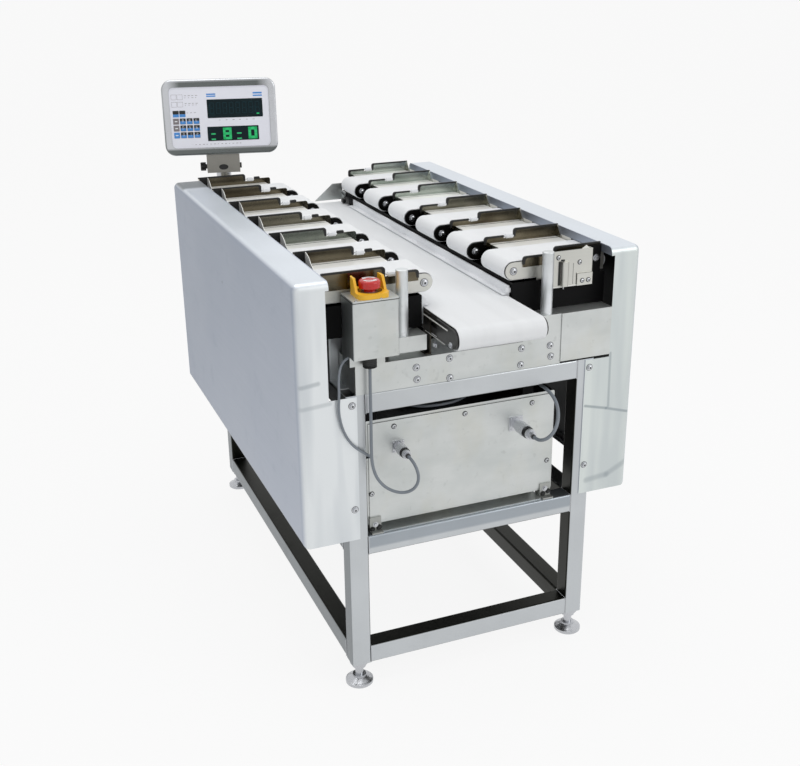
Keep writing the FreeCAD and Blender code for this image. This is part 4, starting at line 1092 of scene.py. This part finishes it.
class WEIGHER_OT_weigh_front(bpy.types.Operator):
    """Details of the drive cover, the conveyor's front end and the post blocks"""
    bl_idname = "weigher.weigh_front"
    bl_label = "Front details"

    def execute(self, context):
        light, dark, white = Form(), Form(), Form()
        # Painted highlights: bright strips and a small bright piece on the drive cover.
        slab(light, (171.3, 261.7), (22.8, 24.0), (790.0, 792.6), 0.3)
        upright(light, [(238, 861), (262.5, 853), (262.5, 858), (249, 868)], 27.0, 0.8)
        # Painted shade: dark strips in the drive cover's slots and gaps.
        slab(dark, (186.5, 191.6), (23.6, 24.0), (794, 842), 0.1)
        slab(dark, (191.8, 200.0), (23.2, 24.0), (842.4, 845.5), 0.2)
        slab(dark, (219.4, 220.1), (23.8, 24.0), (794, 836))
        slab(dark, (227.2, 228.0), (23.7, 24.0), (790, 815.6))
        slab(dark, (227.2, 262.0), (20.8, 21.0), (814.4, 815.0))
        slab(white, (206.5, 208.5), (37.2, 38.0), (781, 787), 0.3)
        # Painted highlights: bright strips along the conveyor's left side.
        slab(light, (-92.7, -92.0), (-72, 38), (768.5, 771.0), 0.2)
        slab(light, (-92.5, -92.0), (-60, 30), (739.0, 740.2), 0.1)
        slab(white, (-95.0, -83.5), (43.0, 51.0), (786.0, 797.0), 1.5)
        slab(white, (83.5, 95.0), (43.0, 50.0), (786.0, 796.0), 1.5)
        light.finish("painted_highlight_strips", "painted_bright", slot="beam_steel")
        dark.finish("cover_slots", "seam", slot="dark_plate")
        white.finish("rail_clips", "rail", slot="rail_white")
        return {"FINISHED"}


class WEIGHER_OT_stop_details(bpy.types.Operator):
    """Lid seam of the stop box, arrows on the button and its gland ribs"""
    bl_idname = "weigher.stop_details"
    bl_label = "Stop details"

    def execute(self, context):
        seam = Form()
        slab(seam, (-255.0, -166.0), (-26.2, -26.0), (825.6, 827.0))
        slab(seam, (-255.2, -255.0), (-26.0, 37.0), (825.6, 827.0))
        slab(seam, (-166.0, -165.8), (-26.0, 37.0), (825.6, 827.0))
        for k in range(5):
            y, z = -13.0, 700.0 + 3.4 * k
            seam.lathe([(0.0124, 0), (0.0132, 0.0004), (0.0132, 0.0014), (0.0124, 0.0018)],
                       facing(at(-220, y, z), UP), 24)
        seam.finish("stop_box_seams", "seam", slot="connector_black")
        marks = Form()
        for start in (20, 200):
            outline = arc(0, 0, 14.5, start, start + 100, 8) + arc(0, 0, 10.5, start + 100, start, 8)
            marks.prism([(x * MM, y * MM) for x, y in outline], 0.0002,
                        Matrix.Translation(at(-210.5, 5.85, 859.0)))
            tip = [(math.radians(start + 100 + a), r) for a, r in ((0, 17.5), (28, 12.5), (0, 7.5))]
            marks.prism([(r * MM * math.cos(a), r * MM * math.sin(a)) for a, r in tip], 0.0002,
                        Matrix.Translation(at(-210.5, 5.85, 859.0)))
        marks.finish("button_arrows", "white_mark", "stop_button", "rail_white")
        return {"FINISHED"}


class WEIGHER_OT_box_details(bpy.types.Operator):
    """Rings and throats of the connectors, and the deflector's clamp and wire"""
    bl_idname = "weigher.box_details"
    bl_label = "Box details"

    def execute(self, context):
        knurls, throats = Form(), Form()
        for x, z, reach, radius in ((-153.5, 516, 50, 10.5), (101, 520, 74, 12.5)):
            for share, wide in ((0.30, 0.6), (0.50, 0.6), (0.78, -1.6)):
                teeth = circle((radius + wide) * MM, 40)
                star = [(px * (1.0 if k % 2 else 0.955), py * (1.0 if k % 2 else 0.955))
                        for k, (px, py) in enumerate(teeth)]
                knurls.prism(star, 0.0055, facing(at(x, 20 - reach * share, z), FORWARD))
            for share in (0.42, 0.70):
                throats.lathe([(radius * MM * 0.96, 0), (radius * MM * 0.96, 0.0016)],
                              facing(at(x, 20 - reach * share, z), FORWARD))
            throats.lathe([(0.0048, 0), (0.0048, 0.0026), (0.0038, 0.0034)],
                          facing(at(x, 20 - reach, z), FORWARD), 16)
            half = radius + 3.0
            for dx in (-1, 1):
                for dz in (-1, 1):
                    knurls.lathe([(0.0016, 0), (0.0016, 0.0009), (0.0009, 0.0015)],
                                 facing(at(x + dx * half * 0.72, 17, z + dz * half * 0.72), FORWARD), 12)
        knurls.finish("connector_rings", "bolt", slot="machined_steel")
        throats.finish("connector_throats", "seam", slot="connector_black")
        clamp = Form()
        slab(clamp, (80, 96), (926, 950), (785, 799), 1.5)
        slab(clamp, (86, 92), (944, 984), (788, 797), 1.5)
        slab(clamp, (76, 84), (960, 978), (783, 794), 1.5)
        tube(clamp, DEFLECTOR_WIRE, 0.9, 6)
        for y in (932, 944):
            hex_bolt(clamp, at(84, y, 799), UP, 0.0035, y)
        clamp.finish("deflector_clamp", "rubber", slot="dark_plate")
        return {"FINISHED"}


# Inner and outer side of the legs, width of the frame's tube and radius of a weld, in millimetres
LEG_INNER = 225
LEG_OUTER = 265
TUBE = 40.0
WELD = 0.8


class WEIGHER_OT_welds(bpy.types.Operator):
    """Weld seams where the frame's tubes meet"""
    bl_idname = "weigher.welds"
    bl_label = "Welds"

    def execute(self, context):
        form = Form()
        depth = (REAR - FRONT) / MM
        for base in RAIL_BASES:
            top = base + TUBE
            for sx in (-1, 1):
                inner, outer = sx * LEG_INNER, sx * LEG_OUTER
                for face in (0.0, depth):
                    bead(form, (inner, face, base), (inner, face, top), WELD)
                for y in (TUBE, depth - TUBE):
                    bead(form, (outer, y, base), (outer, y, top), WELD)
                    bead(form, (inner + sx, y, top), (outer - sx, y, top), WELD)
                for y in (1.0, depth - TUBE + 1.0):
                    bead(form, (inner, y, top), (inner, y + TUBE - 2.0, top), WELD)
        form.finish("weld_seams", "turned", slot="frame_steel")
        return {"FINISHED"}


# The indicator's face: places in millimetres right of and above the middle of the panel
UPPER_DISPLAY = (-32, 108, -2.5, 43.5)
LOWER_DISPLAY = (-35, 95, -59.5, -23.8)
BLUE_BARS = ((-32, -9, 49.8, 53.0), (-32, -9, 54.6, 58.0), (85, 108, 48.6, 52.0), (85, 108, 54.6, 58.6))
SEVEN = {"0": "abcdef", "1": "bc", "2": "abged", "5": "afgcd", "6": "afedcg", "8": "abcdefg", "-": "gd"}


def panel_matrix():
    """A matrix on the middle of the panel: x right, y up and z out of it."""
    lean = Matrix.Rotation(math.radians(-5), 4, "X")
    turn = Matrix.Rotation(math.radians(-12), 4, "Z")
    middle = Matrix.Translation((0, -PANEL_AHEAD * MM, (PANEL_MIDDLE - TILT_HEIGHT) * MM))
    return (Matrix.Translation(at(POLE[0], POLE[1], TILT_HEIGHT)) @ turn @ lean @ middle
            @ Matrix.Rotation(math.pi / 2, 4, "X"))


def plate(form, matrix, corners, out, depth, radius=0.0):
    """A flat plate on the panel between left, right, low and high millimetres."""
    left, right, low, high = corners
    wide, tall = (right - left) * MM, (high - low) * MM
    if radius:
        outline = rounded(wide, tall, radius * MM)
    else:
        outline = [(x * wide / 2, y * tall / 2) for x, y in ((-1, -1), (1, -1), (1, 1), (-1, 1))]
    middle = Matrix.Translation(((left + right) / 2 * MM, (low + high) / 2 * MM, out * MM))
    form.prism(outline, depth * MM, matrix @ middle)


def digit(form, matrix, sign, x, y, wide, high, thick, out):
    """One figure of seven segments by its lower left corner."""
    h = high / 2
    bars = {"a": (0, wide, high - thick, high), "g": (0, wide, h - thick / 2, h + thick / 2),
            "d": (0, wide, 0, thick), "f": (0, thick, h, high), "e": (0, thick, 0, h),
            "b": (wide - thick, wide, h, high), "c": (wide - thick, wide, 0, h)}
    for name in SEVEN[sign]:
        x0, x1, y0, y1 = bars[name]
        plate(form, matrix, (x + x0 + 0.15, x + x1 - 0.15, y + y0 + 0.15, y + y1 - 0.15), out, 0.15)


class WEIGHER_OT_indicator_face(bpy.types.Operator):
    """Displays, keys and printed marks of the indicator"""
    bl_idname = "weigher.indicator_face"
    bl_label = "Indicator face"

    def execute(self, context):
        matrix = panel_matrix()
        windows, ghosts, digits, keys, greys, blues, marks, lines = (Form() for _ in range(8))
        for corners in (UPPER_DISPLAY, LOWER_DISPLAY):
            plate(windows, matrix, corners, 0.02, 0.3, 1.5)
        for k in range(8):
            digit(ghosts, matrix, "8", -26 + 16.4 * k, 7, 11.5, 29, 2.2, 0.33)
        plate(digits, matrix, (92, 99, 4.5, 7.5), 0.33, 0.15)
        for sign, x, wide, thick in (("-", -26, 11, 3.6), ("8", 4, 22, 6.6), ("-", 39, 12, 3.6),
                                     ("0", 68, 23, 7.4)):
            digit(digits, matrix, sign, x, -57, wide, 30, thick, 0.33)
        for corners in BLUE_BARS:
            plate(blues, matrix, corners, 0.02, 0.12)
        self.keypad(matrix, keys, greys, blues, marks)
        self.print_marks(matrix, lines)
        body = "indicator"
        windows.finish("display_windows", "window", body, "connector_black")
        ghosts.finish("unlit_figures", "dim", body, "connector_black")
        digits.finish("lit_figures", "digit", body, "connector_black")
        keys.finish("dark_keys", "rubber", body, "connector_black")
        greys.finish("grey_keys", "key_grey", body, "connector_black")
        blues.finish("blue_keys", "key", body, "panel_film")
        marks.finish("key_figures", "white_mark", body, "panel_film")
        lines.finish("printed_lines", "print_grey", body, "panel_film")
        plug = Form()
        oval = [(12 * MM * x, 7 * MM * y) for x, y in circle(1, 32)]
        plug.prism(oval, 0.0004, matrix @ Matrix.Translation(
            (0, (TILT_HEIGHT - PANEL_MIDDLE) * MM, -0.0114)))
        plug.finish("bracket_plug", "rubber", body, "knob_black")
        return {"FINISHED"}

    def keypad(self, matrix, keys, greys, blues, marks):
        """Two function keys over three rows of four."""
        figures = ("8", "8", "6", "0", "5", "6", "0", "1", "2")
        for k in range(2):
            x = -118.5 + 16.5 * k
            plate(keys, matrix, (x, x + 15, 9.5, 18.2), 0.02, 0.5, 1.0)
            plate(blues, matrix, (x, x + 15, 2.4, 9.3), 0.02, 0.5, 1.0)
        for row in range(3):
            for column in range(4):
                x, y = -119 + 17 * column, -15.5 - 17.2 * row
                if column == 0:
                    target = blues if row == 2 else greys
                    plate(target, matrix, (x, x + 14.5, y, y + 14.5), 0.02, 0.5, 1.2)
                    plate(marks, matrix, (x + 4, x + 10.5, y + 6, y + 8.5), 0.53, 0.12)
                    continue
                plate(keys, matrix, (x, x + 14.5, y, y + 14.5), 0.02, 0.5, 1.2)
                plate(blues, matrix, (x + 0.5, x + 14, y + 0.5, y + 7.5), 0.53, 0.1)
                digit(marks, matrix, figures[row * 3 + column - 1], x + 5, y + 5.5, 4, 7, 0.9, 0.64)

    def print_marks(self, matrix, lines):
        """Outlined cells, and rows of short dashes where the film has small print."""
        for row, low in enumerate((45, 27)):
            for column in range(2):
                x = -120 + 15 * column
                for corners in ((x, x + 13.5, low, low + 0.5), (x, x + 13.5, low + 12, low + 12.5),
                                (x, x + 0.5, low, low + 12), (x + 13, x + 13.5, low, low + 12)):
                    plate(lines, matrix, corners, 0.02, 0.1)
            for k in range(4):
                x = -87 + 9 * k
                plate(lines, matrix, (x, x + 5 + k % 2, low + 9 - row, low + 10 - row), 0.02, 0.1)
                plate(lines, matrix, (x, x + 3 + k % 3, low + 4, low + 4.8), 0.02, 0.1)
        for low, start, count, pitch in ((-8.5, -4, 6, 17), (-67.5, -68, 13, 9.4), (12, -84, 3, 9)):
            for k in range(count):
                x = start + pitch * k
                plate(lines, matrix, (x, x + 3.5 + k % 3, low, low + 0.9), 0.02, 0.1)


class WEIGHER_OT_stage(bpy.types.Operator):
    """Set the floor, the lamps and the camera"""
    bl_idname = "weigher.stage"
    bl_label = "Stage"

    def execute(self, context):
        scene = context.scene
        studio = scene.weigher_studio
        scene.view_settings.view_transform = "Standard"
        self.floor(scene.weigher_colours.floor)
        self.sky(scene, studio.sky)
        self.lamp("key", (2.6, FRONT - 2.6, 2.6), 2.2, studio.key)
        self.lamp("top", (-0.4, 0.0, 3.4), 2.6, studio.top)
        self.camera(scene, studio)
        return {"FINISHED"}

    def floor(self, tint):
        mesh = bpy.data.meshes.new("studio_floor")
        reach = 40.0
        corners = [(-reach, -reach, 0), (reach, -reach, 0), (reach, reach, 0), (-reach, reach, 0)]
        mesh.from_pydata(corners, [], [(0, 1, 2, 3)])
        floor = bpy.data.objects.new("studio_floor", mesh)
        bpy.context.scene.collection.objects.link(floor)
        finish = Finish("studio_floor")
        straight, mirrored, through = finish.rays()
        seen = finish.ramp(straight + mirrored + through, 0, 1)
        matt = finish.add("ShaderNodeBsdfDiffuse", None, {"Color": shade(tint, 1)})
        bright = finish.add("ShaderNodeEmission", None, {"Color": shade(tint, 1), "Strength": 1.0})
        mix = finish.add("ShaderNodeMixShader", None, {0: seen * 0.92, 1: matt, 2: bright})
        finish.end("ShaderNodeOutputMaterial", mix)
        mesh.materials.append(finish.material)

    def sky(self, scene, level):
        world = bpy.data.worlds.new("studio_sky")
        scene.world = world
        graph = Graph(world)
        straight, mirrored, through = graph.rays()
        seen = straight.most(mirrored).most(through)
        even = graph.add("ShaderNodeBackground", None, {"Color": (1, 1, 1, 1), "Strength": level})
        white = graph.add("ShaderNodeBackground", None, {"Color": (0.955, 0.955, 0.955, 1)})
        mix = graph.add("ShaderNodeMixShader", None, {0: seen, 1: even, 2: white})
        graph.end("ShaderNodeOutputWorld", mix)

    def lamp(self, name, place, size, power):
        light = bpy.data.lights.new(name + "_lamp", "AREA")
        light.shape = "DISK"
        light.size = size
        light.energy = power
        lamp = bpy.data.objects.new(name + "_lamp", light)
        lamp.location = place
        aim = Vector((0, 0, 0.6)) - Vector(place)
        lamp.rotation_euler = aim.to_track_quat("-Z", "Y").to_euler()
        bpy.context.scene.collection.objects.link(lamp)

    def camera(self, scene, studio):
        data = bpy.data.cameras.new("camera")
        data.sensor_width = 36.0
        data.lens = studio.lens
        camera = bpy.data.objects.new("camera", data)
        scene.collection.objects.link(camera)
        ahead = Vector((math.sin(studio.yaw) * math.cos(studio.pitch),
                        math.cos(studio.yaw) * math.cos(studio.pitch), -math.sin(studio.pitch)))
        right = Vector((math.cos(studio.yaw), -math.sin(studio.yaw), 0))
        above = right.cross(ahead)
        turn = Matrix((right, above, -ahead)).transposed().to_4x4()
        roll = Matrix.Rotation(studio.roll, 4, "Z")
        camera.matrix_world = Matrix.Translation(studio.place) @ turn @ roll
        scene.camera = camera


class WEIGHER_PT_panel(bpy.types.Panel):
    """Buttons and settings of the weigher"""
    bl_label = "Belt combination weigher"
    bl_idname = "WEIGHER_PT_panel"
    bl_space_type = "VIEW_3D"
    bl_region_type = "UI"
    bl_category = "Weigher"

    def draw(self, context):
        for operator in OPERATORS:
            self.layout.operator(operator.bl_idname)
        for group in (context.scene.weigher_colours, context.scene.weigher_sizes,
                      context.scene.weigher_studio):
            box = self.layout.box()
            for key in group.__annotations__:
                box.prop(group, key)


OPERATORS = (WEIGHER_OT_stage, WEIGHER_OT_finishes, WEIGHER_OT_cables, WEIGHER_OT_belts,
             WEIGHER_OT_fasteners, WEIGHER_OT_guide_trim, WEIGHER_OT_weigh_front,
             WEIGHER_OT_stop_details, WEIGHER_OT_box_details, WEIGHER_OT_welds,
             WEIGHER_OT_indicator_face)
GROUPS = (WEIGHER_PG_colours, WEIGHER_PG_sizes, WEIGHER_PG_studio)


def register():
    for kind in GROUPS + OPERATORS + (WEIGHER_PT_panel,):
        bpy.utils.register_class(kind)
    bpy.types.Scene.weigher_colours = PointerProperty(type=WEIGHER_PG_colours)
    bpy.types.Scene.weigher_sizes = PointerProperty(type=WEIGHER_PG_sizes)
    bpy.types.Scene.weigher_studio = PointerProperty(type=WEIGHER_PG_studio)


def unregister():
    del bpy.types.Scene.weigher_studio
    del bpy.types.Scene.weigher_sizes
    del bpy.types.Scene.weigher_colours
    for kind in reversed(GROUPS + OPERATORS + (WEIGHER_PT_panel,)):
        bpy.utils.unregister_class(kind)


def main():
    register()
    for operator in OPERATORS:
        group, name = operator.bl_idname.split(".")
        getattr(getattr(bpy.ops, group), name)()
    bpy.context.view_layer.update()


if __name__ == "__main__":
    main()
